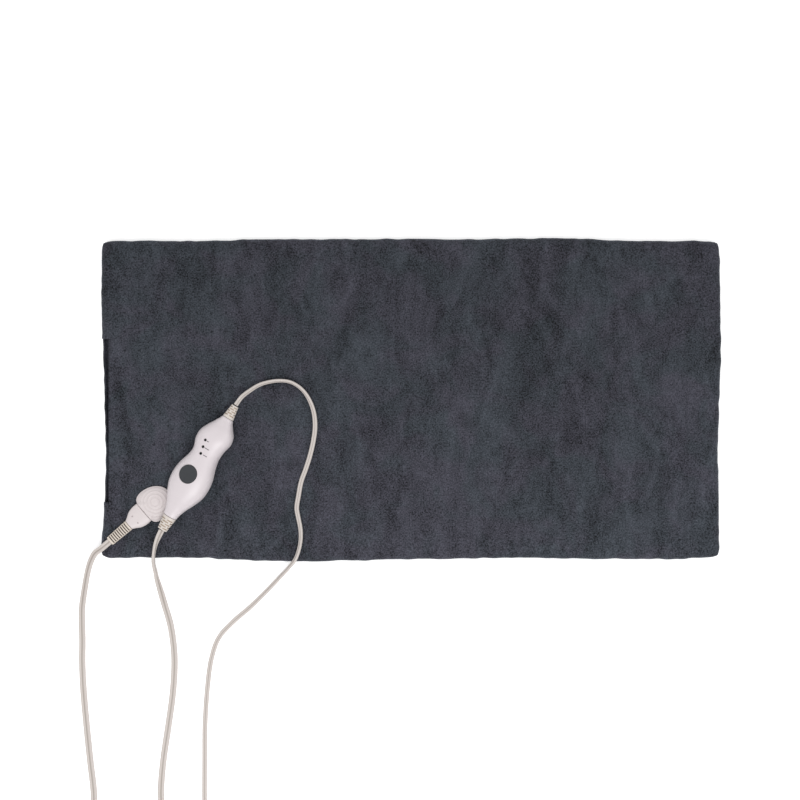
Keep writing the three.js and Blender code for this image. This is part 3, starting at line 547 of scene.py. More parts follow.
PEARL = plastic_finish("pearl_plastic", rgb(210, 202, 205), 0.42, Coat_Weight=0.2,
                       Coat_Roughness=0.32, Specular_IOR_Level=0.5)
DISC = plastic_finish("satin_plastic", rgb(206, 197, 197), 0.42)
# The lead's groove between its two lobes is painted a little darker: painted shade.
CORD_PVC = plastic_finish("cord_pvc", rgb(196, 188, 183), 0.50, 0.09, 500,
                          groove_shade_colour=rgb(150, 140, 132))
# The controller's reliefs get faintly browner slots: painted shade in them.
RELIEF_PVC = plastic_finish("relief_pvc", rgb(206, 198, 191), 0.48, 0.08, 700,
                            groove_shade_colour=rgb(172, 155, 137))
# The plug's relief has the darkest, brownest slots: painted shade deep in its slots.
SLOT_SHADE_RELIEF_PVC = plastic_finish("relief_pvc_slot_shade", rgb(208, 197, 185), 0.48, 0.08, 700,
                                 groove_shade_colour=rgb(48, 34, 24))
BUTTON_GREY = plastic_finish("button_grey", rgb(58, 60, 63), 0.62, 0.10, 1400, 0.00008,
                             Specular_IOR_Level=0.25)
# Near black: painted shade of the light holes, put on the tops of the clear light rods.
LIGHT_HOLE_SHADE = plastic_finish("light_hole_painted_shade", rgb(9, 9, 11), 0.45, 0.05, Specular_IOR_Level=0.2)
PRINT_GREY = plastic_finish("print_grey", rgb(96, 92, 95), 0.55, 0.10)
INNER_PLASTIC = plastic_finish("inner_plastic", rgb(201, 198, 194), 0.55, 0.08, 600)
LED_PLASTIC = plastic_finish("led_lens", rgb(238, 232, 208), 0.22, 0.05)
CHIP_BLACK = plastic_finish("chip_black", rgb(26, 26, 28), 0.55, 0.20, 1800, 0.00005)
FILM_AMBER = plastic_finish("film_amber", rgb(186, 140, 48), 0.38, 0.15)
THERMOSTAT_BLACK = plastic_finish("thermostat_black", rgb(40, 40, 43), 0.5, 0.15, 900)

# %% [markdown]
# ## The hidden layers
# Under the plush lie wadding, two felts and the heating wire. They are hardly ever seen, but
# each one still gets the finish of its stuff: fibres for felt, a nap of loops or hooks for
# the strips, copper tracks on the board and fine turning lines on metal.

# %% Felt, wadding, strips and wire
def fibre_finish(name, colour, scale, contrast, depth, stretch=(1, 1, 1)):
    fibre = Finish(name, Roughness=0.95, Sheen_Weight=0.15, Sheen_Roughness=0.5)
    loose = fibre.noise(scale, 4, 0.7, fibre.stretched(stretch), 0.6)
    broad = fibre.noise(scale / 12, 2, 0.5)
    shade = 1.0 - contrast / 2 + loose * contrast * 0.7 + broad * contrast * 0.3
    return fibre.feed(Base_Color=fibre.tinted(colour, shade),
                      Normal=fibre.bump(loose, depth, 0.8))


WADDING = fibre_finish("white_wadding", rgb(233, 230, 223), 260, 0.16, 0.0012)
FELT = fibre_finish("grey_felt", rgb(214, 209, 201), 700, 0.20, 0.0006, (1, 1.5, 1))


def strip_finish(name, colour, pitch):
    """A nap of hooks or loops in close rows."""
    nap = Finish(name, Roughness=0.9, Sheen_Weight=0.2)
    cell = nap.node("TexVoronoi", {"feature": "F1"}, {"Vector": nap.place, "Scale": pitch})
    wear = nap.noise(120, 2)
    shade = 1.25 - cell * 0.7 + wear * 0.2
    return nap.feed(Base_Color=nap.tinted(colour, shade),
                    Normal=nap.bump(1.0 - cell, 0.0008, 0.9))


LOOP_NAP = strip_finish("loop_nap", rgb(44, 45, 49), 1300)
HOOK_NAP = strip_finish("hook_nap", rgb(38, 39, 43), 900)
WIRE_SHEATH = plastic_finish("wire_sheath", rgb(232, 201, 168), 0.55, 0.12, 1200)


# %% Board and metals
def board_finish():
    board = Finish("green_board", Roughness=0.4, Coat_Weight=0.2)
    track = board.node("TexBrick", {"offset": 0.3}, {
        "Vector": board.stretched((1, 1, 1), (0, 0, math.radians(-59.4))), "Scale": 260.0,
        "Color1": (0, 0, 0, 1), "Color2": (0.1, 0.1, 0.1, 1), "Mortar": (1, 1, 1, 1),
        "Mortar Size": 0.012})
    tint = board.mix(track, rgb(38, 96, 60), rgb(70, 140, 90))
    grain = board.noise(900, 2)
    return board.feed(Base_Color=board.tinted(tint, 0.9 + grain * 0.2),
                      Normal=board.bump(track, 0.00005, 0.4))


def metal_finish(name, colour, roughness):
    metal = Finish(name, Metallic=1.0, Roughness=roughness)
    brushed = metal.noise(900, 3, 0.6, metal.stretched((0.15, 1, 1), (0, 0, 0.7)))
    dull = metal.noise(160, 2)
    return metal.feed(Base_Color=metal.tinted(colour, 0.9 + dull * 0.2),
                      Roughness=roughness - 0.08 + dull * 0.16,
                      Normal=metal.bump(brushed, 0.00004, 0.4))


BOARD = board_finish()
BRASS = metal_finish("brass", rgb(190, 172, 132), 0.32)
STEEL = metal_finish("steel", rgb(176, 178, 180), 0.36)

# %% [markdown]
# ## Finishes for the CAD pieces that stay
# The inner pieces already have the right shape, so they keep their CAD mesh and only their
# material changes. Hiding them would leave an empty case behind the button and the opening.

# %% Dress the CAD pieces
KEPT = (
    (LOOP_NAP, "loop_strip"), (HOOK_NAP, "hook_strip"), (WADDING, "wadding"),
    (FELT, "felt_lower felt_upper board_fuse"), (WIRE_SHEATH, "heating_wire"),
    (THERMOSTAT_BLACK, "thermostat_left thermostat_right thermal_fuse"), (DISC, "socket_base"),
    (BRASS, "socket_pin_a socket_pin_b connector_sleeve_a connector_sleeve_b"),
    (BRASS, "plug_blade_a plug_blade_b"), (INNER_PLASTIC, "socket_clamp_plate"),
    (STEEL, "socket_screw_a socket_screw_b case_screw_1 case_screw_2"),
    (BOARD, "circuit_board"), (CHIP_BLACK, "tact_switch triac control_chip"),
    (LED_PLASTIC, "tact_plunger led_1 led_2 led_3"), (FILM_AMBER, "capacitor"),
)
dressed = 0
for material, nodes in KEPT:
    for node in nodes.split():
        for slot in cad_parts[node].material_slots:
            slot.material = material
        dressed += 1
print(dressed, "CAD pieces dressed")
# %% [markdown]
# ## Flat twin leads
# The lead of such a pad is two insulated wires side by side, so its section is two lobes with
# a groove between them. It lies flat, leans over in a bend and stands on edge where it is
# twisted. The section is one small loop, drawn once, then extruded and turned station by
# station along the route, which keeps the groove running straight down the lead.

# %% The twin section and its sweep
LOBE_POINTS, LOBE_HALF_TURN, GROOVE_HALF = 8, 122, 0.7


def twin_section(width, lobe):
    """(across, up, groove) for each point of the section, once round."""
    loop = []
    for side in (1, -1):
        for i in range(LOBE_POINTS):
            angle = math.radians(LOBE_HALF_TURN * (2 * i / (LOBE_POINTS - 1) - 1))
            across = side * (width / 2 - lobe + lobe * math.cos(angle))
            loop.append((across, side * lobe * math.sin(angle), 0.0))
        loop.append((0, side * lobe * GROOVE_HALF, 1.0))
    return loop


def leaning(shares, turns, count):
    """The cord's lean in radians at each of count stations, from a few (share, degrees)."""
    along = np.linspace(0, 1, count)
    lean = np.interp(along, shares, np.radians(turns))
    width = max(3, count // 60)
    padded = np.pad(lean, width, mode="edge")
    kernel = np.hanning(2 * width + 3)[1:-1]
    return np.convolve(padded, kernel / kernel.sum(), mode="valid")[:count]


def half_height(lean, width, lobe):
    """How far the leaning section reaches below its middle."""
    return lobe + (width / 2 - lobe) * np.abs(np.sin(lean))


def station(line, lean, i):
    """The matrix that stands the section at a point of the line."""
    a, b = line[max(i - 1, 0)], line[min(i + 1, len(line) - 1)]
    ahead = Vector(b - a).normalized()
    side = ahead.cross(Vector((0, 0, 1))).normalized()
    up = side.cross(ahead)
    turn = Matrix((side, up, ahead)).transposed() @ Matrix.Rotation(lean, 3, "Z")
    return Matrix.Translation(line[i]) @ turn.to_4x4()


def swept_cord(line, lean, twin):
    """The section carried along the line."""
    bm = bmesh.new()
    layer = bm.verts.layers.float.new("groove")
    ring = []
    for across, up, groove in twin_section(*twin):
        v = bm.verts.new((across, up, 0))
        v[layer] = groove
        ring.append(v)
    bm.faces.new(ring)
    first = station(line, lean[0], 0)
    bmesh.ops.transform(bm, matrix=first, verts=ring)
    edges, before = bm.edges[:], first
    for i in range(1, len(line)):
        made = bmesh.ops.extrude_edge_only(bm, edges=edges)["geom"]
        edges = [g for g in made if isinstance(g, bmesh.types.BMEdge)]
        verts = [g for g in made if isinstance(g, bmesh.types.BMVert)]
        here = station(line, lean[i], i)
        bmesh.ops.transform(bm, matrix=here @ before.inverted(), verts=verts)
        before = here
    bmesh.ops.contextual_create(bm, geom=edges)
    bmesh.ops.recalc_face_normals(bm, faces=bm.faces)
    return bm


# %% [markdown]
# A real lead touches what it lies on. The CAD route is drawn for a round cord, so the flat
# one is let down by the difference: its middle rests half its own height over the surface.
# Only the ends, which are held in strain reliefs or in the coil, keep the route's height.

# %% Let the leads down on what they lie on
REST_CLEARANCE, LET_DOWN_SHARE = 0.4, 0.02
IDENTITY = Matrix.Identity(4)


def let_down(line, lean, twin, first_share, last_share):
    """Lowers the line between two shares of its length until the flat cord rests."""
    rested = line.copy()
    drop = ROUTE_RADIUS + GAP - REST_CLEARANCE - half_height(lean, *twin)
    share = np.linspace(0, 1, len(line))
    held = eased(np.minimum(share - first_share, last_share - share) / LET_DOWN_SHARE)
    rested[:, 2] -= drop * held
    return rested


PAD_LEAN = leaning(
    (0, 0.012, 0.034, 0.06, 0.08, 0.10, 0.13, 0.16, 0.34, 0.40, 0.46, 0.60, 0.86, 0.93, 0.97, 1),
    (30, 52, 88, 86, 76, 40, 12, 0, 6, 20, 6, 0, 2, 20, 8, 0), len(pad_line))
pad_lead_line = let_down(pad_line, PAD_LEAN, PAD_TWIN, 0.05, 0.975)
MAINS_LEAN = leaning(
    (0, 0.012, 0.028, 0.045, 0.063, 0.10, 0.12, 0.141, 0.167, 0.19, 0.25, 1),
    (-30, -52, -66, -66, -16, -10, -20, -62, -40, -15, 0, 0), len(mains_line))
lead_share = length_of(smooth_curve(from_corner(MAINS_LEAD), 3)) / length_of(mains_line)
mains_lead_line = let_down(mains_line, MAINS_LEAN, MAINS_TWIN, 0.03, lead_share - 0.02)

# %% Make both leads
pad_cord = finish_piece("pad_cord", swept_cord(pad_lead_line, PAD_LEAN, PAD_TWIN), IDENTITY,
                        CORD_PVC, None, ["pad_lead"])
mains_skin = swept_cord(mains_lead_line, MAINS_LEAN, MAINS_TWIN)
mains_cord = finish_piece("mains_cord", mains_skin, IDENTITY, CORD_PVC, "pad",
                          ["mains_lead", "mains_coil", "mains_tail"])

# %% [markdown]
# The pad lead joins two bodies. When the plug is pulled out of its socket, the left strand
# goes with the plug and the rest stays. Here the point where its loop turns round is found,
# and the lead's placement is baked into its mesh.

# %% Find the turn of the pad lead's loop
turn_y, turn_z = pad_lead_line[:, 1].min() * MM, ON_FLOOR * MM
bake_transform(pad_cord)
# %% [markdown]
# ## The socket disc
# A round, low disc is riveted through the plush near the corner, and its flat mouth takes the
# lead's plug. Its top is slightly crowned, with faint raised rings round the hub. The skin is
# wrapped round the hub's axis, and the room for the plug is cut out of it.

# %% The socket's frame
MOUTH = CORNER + Vector((40.6, 46.8, 0))
SOCKET = Matrix.Translation(MOUTH) @ Matrix.Rotation(math.radians(40.5), 4, "Z")
CAP_BASE = PAD_TOP + GAP
CAP_LENGTH, CAP_WIDEST, CAP_HALF, MOUTH_HALF = 31.4, 9.5, 17.2, 11.4
EAR = 1.5
CAP_EDGE, CAP_CROWN = 2.6, 3.6
HUB_X = 14.7
PLATE_TOP = CAP_BASE + 0.8
TONGUE = ((-2, -5.5, PLATE_TOP + 0.6), (11, 5.5, PLATE_TOP + 0.6 + 3.1))
CONTACT_Y, CONTACT_Z = 2.8, PLATE_TOP + 0.6 + 1.55
RINGS = (4.2, 7.6, 11.0, 14.2)
RING_HEIGHT, MOUTH_RISE = 0.38, 3.1


def cap_half_width(x):
    if x < CAP_WIDEST:
        rise = math.sqrt(max(0.0, 1 - (1 - x / CAP_WIDEST) ** 2))
        return MOUTH_HALF + (CAP_HALF - MOUTH_HALF) * rise - rounding(x, EAR)
    share = (x - CAP_WIDEST) / (CAP_LENGTH - CAP_WIDEST)
    return CAP_HALF * math.sqrt(max(0.0, 1 - share * share))


def cap_reach(angle):
    """How far the outline is from the hub in one direction."""
    low, high = 0.0, 30.0
    for _ in range(26):
        r = (low + high) / 2
        x, y = HUB_X + r * math.cos(angle), r * math.sin(angle)
        inside = 0 <= x <= CAP_LENGTH and abs(y) < cap_half_width(x)
        low, high = (r, high) if inside else (low, r)
    return low


def cap_point(turn, share):
    """Out over the crown, round the edge, down the side and back under to the hub."""
    roll_radius = 0.9
    angle = 2 * math.pi * turn
    reach = cap_reach(angle)
    from_mouth = math.degrees(abs(angle - math.pi))
    edge = CAP_EDGE + MOUTH_RISE * (1 - smooth_step(from_mouth, 30, 46))
    top, rim, side = 0.62, 0.74, 0.84
    if share < top:
        out = share / top
        r = out * (reach - roll_radius)
        crown = math.sqrt(1 - 0.97 * out ** 2.4) - 0.173 * out
        crown = max(0.0, crown) * (CAP_EDGE + CAP_CROWN - edge)
        ring = max(math.exp(-((r - at) / 0.45) ** 2) for at in RINGS)
        z = edge + crown + RING_HEIGHT * ring * smooth_step(reach - r, 1.5, 3.5)
    elif share < rim:
        roll = math.pi / 2 * (share - top) / (rim - top)
        r = reach - roll_radius + roll_radius * math.sin(roll)
        z = edge - roll_radius + roll_radius * math.cos(roll)
    elif share < side:
        r, z = reach, (edge - roll_radius) * (1 - (share - rim) / (side - rim))
    else:
        r, z = reach * (1 - (share - side) / (1 - side)), 0.0
    return (HUB_X + r * math.cos(angle), r * math.sin(angle), CAP_BASE + z)


# %% Make the disc
cap = wrapped(120, 84, cap_point)
plate_room = post(12.9, HUB_X, 0, CAP_BASE - 1, PLATE_TOP + 0.3)
plug_room = block((-2, -5.8, PLATE_TOP + 0.2), (11.7, 5.8, TONGUE[1][2] + 0.3), 0.3)
pin_slots = joined(*[
    block((10.7, side * CONTACT_Y - 0.85, PLATE_TOP - 0.2),
          (14.2, side * CONTACT_Y + 0.85, CONTACT_Z + 0.85)) for side in (1, -1)])
cap = carved(carved(carved(cap, plate_room), plug_room), pin_slots)
finish_piece("socket_disc", cap, SOCKET, DISC, "pad", ["socket_cap"])

# %% [markdown]
# ## The plug on the pad lead
# The plug grows from the lead's width to the disc's mouth, so that together they read as one
# shape. Its section is a rounded box. Two small dimples on top mark its two contacts. A flat
# tongue with two brass-lined bores goes into the disc.

# %% Shapes that pass smoothly through stations
def smooth_through(stations, values):
    """A smooth function of x through a value at each station."""
    def at(x):
        last = len(stations) - 1
        i = 0
        while i < last - 1 and x > stations[i + 1]:
            i += 1
        t0, t1 = stations[i], stations[i + 1]
        y0, y1 = values[i], values[i + 1]
        before = stations[i - 1] if i else 2 * t0 - t1
        after = stations[i + 2] if i + 2 <= last else 2 * t1 - t0
        yb = values[i - 1] if i else y1
        ya = values[i + 2] if i + 2 <= last else y0
        wb, wa = (t1 - t0) / 2 / (t0 - before), (t1 - t0) / 2 / (after - t1)
        p = (x - t0) / (t1 - t0)
        return (yb * wb * (-p ** 3 + 2 * p * p - p)
                + y0 * ((1 + wb) * p ** 3 + (-1.5 - 2 * wb) * p * p + (-0.5 + wb) * p + 1)
                + y1 * ((-1 - wa) * p ** 3 + (1.5 + wa) * p * p + 0.5 * p)
                + ya * wa * (p ** 3 - p * p))
    return at


PLUG_LENGTH, PLUG_HALF_HEIGHT, MOUTH_GAP = 19.5, 2.95, 0.2
PLUG_AXIS = CAP_BASE + 0.2 + PLUG_HALF_HEIGHT
plug_width = smooth_through((0, 0.12, 0.38, 0.7, 1), (5.6, 6.6, 9.6, 11.2, MOUTH_HALF - GAP))


def plug_point(turn, share):
    """From the middle of the cord end, along the skin, to the middle of the mouth end."""
    angle = 2 * math.pi * turn
    along, shrink = capped(share, 0.10)
    x = -MOUTH_GAP - PLUG_LENGTH * (1 - along)
    inset = rounding(min(along, 1 - along) * PLUG_LENGTH, 0.4)
    y = (plug_width(along) - inset) * signed_power(math.cos(angle), 2 / 3) * shrink
    z = (PLUG_HALF_HEIGHT - inset) * signed_power(math.sin(angle), 2 / 2.4) * shrink
    return (x, y, PLUG_AXIS + z)


# %% Make the plug body
plug = wrapped(96, 70, plug_point)
tongue = block(TONGUE[0], TONGUE[1], 0.35)
dimples = joined(*[post(0.8, -11.2, side * 4.3, PLUG_AXIS + 1.8, PLUG_AXIS + 4, 20)
                   for side in (1, -1)])
ALONG_X = Matrix.Rotation(math.radians(90), 4, "Y")


def bored(radius, y, z, start, end, steps=24):
    """A round rod along X, for cutting a bore."""
    rod = post(radius, 0, 0, start, end, steps)
    rod.transform(Matrix.Translation((0, y, z)) @ ALONG_X)
    return rod


bores = joined(*[bored(1.25, side * CONTACT_Y, CONTACT_Z, 0.6, 12) for side in (1, -1)])
plug = carved(carved(carved(plug, tongue, "UNION"), dimples), bores)
lead_plug = finish_piece("lead_plug", plug, SOCKET, DISC, "connector",
                         ["connector_body"])

# %% [markdown]
# ## Strain reliefs
# Where a lead leaves a housing, a tapered sleeve with cut slots lets it bend gently. The slots
# are real grooves in the skin. On the plug they run nearly all round. On the controller they
# are short, with solid bridges between them, and every second row is shifted by a bridge.

# %% Ribbed sleeves
def sleeve(length, radii, rows, depth, flat, bridges, solid_tip=0.0, first=0.10):
    """A tapered sleeve along +X from its thick end, slotted in rows between bridges."""
    pitch = (1 - first - solid_tip) / rows
    end_cap = 0.05

    def slot_depth(turn, share):
        row = (capped(share, end_cap)[0] - first) / pitch
        if not 0 <= row < rows:
            return 0.0
        across = abs(row % 1.0 - 0.5)
        cut = 1 - smooth_step(across, 0.16, 0.27)
        angle = turn * bridges + (0.5 if int(row) % 2 and bridges > 2 else 0.0)
        wall = abs(angle % 1.0 - 0.5)
        return cut * (1 - smooth_step(wall, 0.33, 0.40))

    def place(turn, share):
        angle = 2 * math.pi * turn
        along, shrink = capped(share, end_cap)
        radius = radii[0] + (radii[1] - radii[0]) * along
        radius = (radius - depth * slot_depth(turn, share)) * shrink
        y = radius * signed_power(math.cos(angle), 0.9)
        return (length * along, y, flat * radius * signed_power(math.sin(angle), 0.9))

    return wrapped(48, rows * 12 + 12, place, slot_depth)


# %% The plug's strain relief
RELIEF_LENGTH = 24.4
TURN_BACK = Matrix.Rotation(math.pi, 4, "Z")
relief_place = (SOCKET @ Matrix.Translation((-2 * GAP - PLUG_LENGTH, 0, PLUG_AXIS))
                @ TURN_BACK)
lead_relief = sleeve(RELIEF_LENGTH, (5.4, 4.7), 9, 0.75, 0.56, 2, 0.06, 0.05)
plug_relief = finish_piece("lead_plug_relief", lead_relief, relief_place, SLOT_SHADE_RELIEF_PVC,
                           "connector", ["connector_relief"])
# %% [markdown]
# ## The hand controller
# The controller is two glossy shells that meet on a flat parting plane. It swells round the
# button, narrows to a waist, swells again round the lights and tapers at both ends. Widths and
# heights at a few stations say all of that, and a smooth function runs through them. The same
# skin drawn 1.8 mm smaller is the hollow inside.

# %% The case's sizes
STATIONS = (15, 26, 36, 46, 56, 66, 78, 86, 95, 105, 113, 120, 127)
half_width = smooth_through(STATIONS, (7.2, 10.2, 15.2, 19.2, 20.2, 19.0, 15.2, 14.0, 15.8,
                                       16.9, 14.2, 9.6, 6.0))
height_above = smooth_through(STATIONS, (6.4, 8.4, 11.6, 13.6, 14.4, 14.2, 12.8, 12.2, 12.4,
                                         12.4, 10.4, 7.6, 5.4))
depth_below = smooth_through(STATIONS, (4.4, 5.2, 8.0, 10.0, 10.5, 10.5, 10.0, 9.6, 9.6,
                                        9.6, 8.4, 6.4, 4.6))
CASE_START, CASE_END, LEAD_END = 15.0, 127.0, 141.0
CASE_WALL = 1.8
SECTION_POWER = 2.5


def to_left(x):
    """How far the swelling round the lights stands to the left of the case's line."""
    return 1.9 * math.exp(-((x - 96) / 9) ** 2) - 0.7 * math.exp(-((x - 114) / 6) ** 2)


def case_point(inset, soft):
    """Where a share and a turn lie on the case, made smaller all round by inset."""
    low, high = CASE_START + inset, CASE_END - inset

    def place(turn, share):
        angle = 2 * math.pi * turn
        along, shrink = capped(share, 0.04)
        x = low + (high - low) * along
        pull = rounding(min(x - low, high - x), soft)
        tall = height_above(x) if turn < 0.5 else depth_below(x)
        c = signed_power(math.cos(angle), 2 / SECTION_POWER)
        s = signed_power(math.sin(angle), 2 / SECTION_POWER)
        y = (half_width(x) - inset - pull) * c * shrink
        return (x, y + to_left(x) * shrink, (tall - inset - pull) * s * shrink)
    return place


def face_height(x, y):
    share = min(1.0, abs(y - to_left(x)) / half_width(x))
    return height_above(x) * (1 - share ** SECTION_POWER) ** (1 / SECTION_POWER)


# %% [markdown]
# The case's frame stands at the end of its lower strain relief, turned to the way it points
# and rolled to its left, because it lies on the edge of the socket disc. It is lifted until
# its lowest point stands where the CAD case's does.

# %% The case's frame
skin = wrapped(112, 150, case_point(0.0, 0.8))
LIE = Matrix.Rotation(math.radians(59.4), 4, "Z") @ Matrix.Rotation(math.radians(-13), 4, "X")
lowest = min((LIE @ v.co).z for v in skin.verts)
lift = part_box("controller_base")[0].z / MM - lowest
CASE = Matrix.Translation(CORNER + Vector((59.9, 30.3, lift))) @ LIE
print("case axis at", round(lift, 2), "mm")

# %% The two shells
BUTTON_AT, BUTTON_RADIUS = Vector((61.5, 1.3)), 9.0
LIGHTS = [Vector((84.9, 1.5)) + i * Vector((6.75, 1.45)) for i in range(3)]
LENS_RADIUS = 1.35
FAR = 60
SCREWS, SCREW_POST = (31, 114), 3.6
SCREW_WELL = ((0, -FAR), (2.6, -FAR), (2.6, -2.9), (1.3, -2.9), (1.3, 4.3), (0, 4.3))
BOARD_RIBS, BOARD_UNDER = (44, 99), -3.7
LEAD_BORES = (2.4, 2.07)
PARTING = 0.15


def one_side(bm, up):
    """The part of a closed skin over or under the parting plane, closed again."""
    bmesh.ops.bisect_plane(bm, geom=bm.verts[:] + bm.edges[:] + bm.faces[:], dist=1e-5,
                           plane_co=(0, 0, up * PARTING), plane_no=(0, 0, -up),
                           clear_outer=True)
    rim = [e for e in bm.edges if len(e.link_faces) == 1]
    bmesh.ops.edgeloop_fill(bm, edges=rim)
    bmesh.ops.recalc_face_normals(bm, faces=bm.faces)
    return bm


hollow = wrapped(64, 60, case_point(CASE_WALL, 0.3))
posts = joined(*[post(SCREW_POST, x, 0, -FAR, FAR, 32) for x in SCREWS])
hollow = carved(hollow, posts)
lower_hollow = carved(hollow.copy(), joined(*[
    block((x - 1, -9, -FAR), (x + 1, 9, BOARD_UNDER)) for x in BOARD_RIBS]))
ends = joined(bored(LEAD_BORES[0], 0, 0, CASE_START - 1, CASE_START + 3),
              bored(LEAD_BORES[1], 0, 0, CASE_END - 3, CASE_END + 1))
crown = face_height(BUTTON_AT.x, 0)
WELL_RADIUS, LIP_RADIUS = BUTTON_RADIUS + GAP, BUTTON_RADIUS + 0.75
button_well = turned([(0, 0), (WELL_RADIUS, 0), (WELL_RADIUS, crown - 0.55),
                      (LIP_RADIUS, crown + 0.1), (LIP_RADIUS, FAR), (0, FAR)], 96)
button_well.transform(Matrix.Translation((*BUTTON_AT, 0)))
windows = joined(*[post(LENS_RADIUS + 0.1, p.x, p.y, 1, FAR, 32) for p in LIGHTS])

top = carved(one_side(skin.copy(), 1), hollow)
top = carved(carved(top, button_well), windows)
base = carved(one_side(skin, -1), lower_hollow)
for x in SCREWS:
    well = turned(SCREW_WELL, 32)
    well.transform(Matrix.Translation((x, 0, 0)))
    base = carved(base, well.copy())
    top = carved(top, well)
base = carved(base, ends.copy())
top = carved(top, ends)
finish_piece("controller_face", top, CASE, PEARL, "pad", ["controller_top"])
finish_piece("controller_back", base, CASE, PEARL, "pad", ["controller_base"])

# %% [markdown]
# ## Button and light marks
# The round button is turned like a coin, with a faint dish and a soft edge, on the flange and
# stem that press the switch. The three lights each have a short printed dash beside them; the
# top of each light rod is painted near black, as painted shade of the hole it sits in.

# %% Button
PLUNGER_TOP = -1.8 + GAP + 3.5 + 1.2
button_crown = crown + 0.5
FLANGE_RADIUS, STEM_RADIUS = BUTTON_RADIUS + 1.2, 2.2
SOFT_EDGE = ((9, 0.75), (8.92, 0.45), (8.7, 0.2), (8.3, 0.06), (7.8, 0), (6.5, 0.08), (4, 0.2),
             (0, 0.28))
flange_top = face_height(BUTTON_AT.x, FLANGE_RADIUS + BUTTON_AT.y) - CASE_WALL - 0.6
coin = turned([
    (0, PLUNGER_TOP + GAP), (STEM_RADIUS, PLUNGER_TOP + GAP), (STEM_RADIUS, flange_top - 1),
    (FLANGE_RADIUS, flange_top - 1), (FLANGE_RADIUS, flange_top), (BUTTON_RADIUS, flange_top),
    *[(radius, button_crown - down) for radius, down in SOFT_EDGE]], 96)
coin.transform(Matrix.Translation((*BUTTON_AT, 0)))
finish_piece("control_button", coin, CASE, BUTTON_GREY, "button", ["button"])

# %% Lenses over the lights
def lens(node, light):
    """A dome on the clear rod that brings the light up from the board, painted near black as the
    shade in its hole.
    """
    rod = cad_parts[node]
    low = min((CASE.inverted() @ (rod.matrix_world @ v.co / MM)).z for v in rod.data.vertices)
    top = face_height(light.x, light.y)
    bm = turned([(0, low), (1.05, low), (1.05, top - 1.2), (LENS_RADIUS, top - 1.0),
                 (LENS_RADIUS, top - 0.25), (1.0, top - 0.02), (0.5, top + 0.06),
                 (0, top + 0.08)], 32)
    bm.transform(Matrix.Translation((*light, 0)))
    return finish_piece("lens_" + node[-1], bm, CASE, LIGHT_HOLE_SHADE, "pad", [node])


for number, light in enumerate(LIGHTS, 1):
    lens("light_pipe_%d" % number, light)

# %% Printed dashes beside the lights
DASH_THICK, DASH_WIDE = 0.06, 0.7
DASHES = ((2.9, 4.2), (1.8, 5.2), (1.7, 2.5))


def dash(light, start, length):
    """A thin ink line across the case, to the right of its light."""
    bm = block((-DASH_WIDE / 2, -start - length, -0.02), (DASH_WIDE / 2, -start, DASH_THICK),
               0.02, 1)
    bmesh.ops.subdivide_edges(bm, edges=[e for e in bm.edges if e.calc_length() > 1],
                              cuts=8, use_grid_fill=True)
    for v in bm.verts:
        x, y = light.x + v.co.x, light.y + v.co.y
        v.co = Vector((x, y, face_height(x, y) + v.co.z))
    return bm


marks = joined(*[dash(light, *size) for light, size in zip(LIGHTS, DASHES)])
finish_piece("light_marks", marks, CASE, PRINT_GREY, "pad")

# %% The controller's strain reliefs
lower = sleeve(CASE_START - GAP, (6.9, 4.8), 5, 0.8, 0.85, 4, 0.06, 0.14)
lower.transform(Matrix.Translation((CASE_START - GAP, 0, 0)) @ TURN_BACK)
finish_piece("controller_pad_sleeve", lower, CASE, RELIEF_PVC, "pad",
             ["controller_relief_pad"])
upper = sleeve(LEAD_END - CASE_END - GAP, (5.8, 3.6), 5, 0.7, 0.85, 4, 0.06, 0.14)
upper.transform(Matrix.Translation((CASE_END + GAP, 0, 0)))
finish_piece("controller_mains_sleeve", upper, CASE, RELIEF_PVC, "pad",
             ["controller_relief_mains"])
# %% [markdown]
# ## The mains plug and the coil's tie
# The spare lead is wound into a flat coil, held by a strap, and ends in a two-blade plug. The
# plug is a rounded box with a waist for the fingers, and the strap is a closed band whose
# section is carried once round the coil.

# %% Mains plug
PLUG_AT = CORNER + Vector((205, -319, 0))
MAINS_PLUG = Matrix.Translation(PLUG_AT) @ Matrix.Rotation(math.radians(15), 4, "Z")
BODY_START, BODY_LONG, BODY_TALL = 18.3, 32.0, 13.0
NECK_HALF, FLARE, WAIST, GRIP_ROWS = 7.6, 3.4, 1.3, 9
BLADE_GAP, BLADE_HALF, SLOT_ROOM = 12.7, (0.75, 3.175), 0.15


def mains_plug_point(turn, share):
    angle = 2 * math.pi * turn
    along, shrink = capped(share, 0.08)
    pull = rounding(min(along, 1 - along) * BODY_LONG, 2.2)
    wide = NECK_HALF + FLARE * smooth_step(along, 0.0, 0.45)
    tall = BODY_TALL / 2 - WAIST * math.sin(math.pi * min(1.0, along * 1.25)) ** 2
    grip = max(0.0, math.cos(2 * math.pi * along * GRIP_ROWS)) * smooth_step(along, 0.2, 0.3)
    grip *= 1 - smooth_step(along, 0.66, 0.76)
    tall -= 0.35 * grip
    y = (wide - pull) * signed_power(math.cos(angle), 0.55) * shrink
    z = (tall - pull) * signed_power(math.sin(angle), 0.55) * shrink
    return (BODY_START + BODY_LONG * along, y, BODY_TALL / 2 + z)


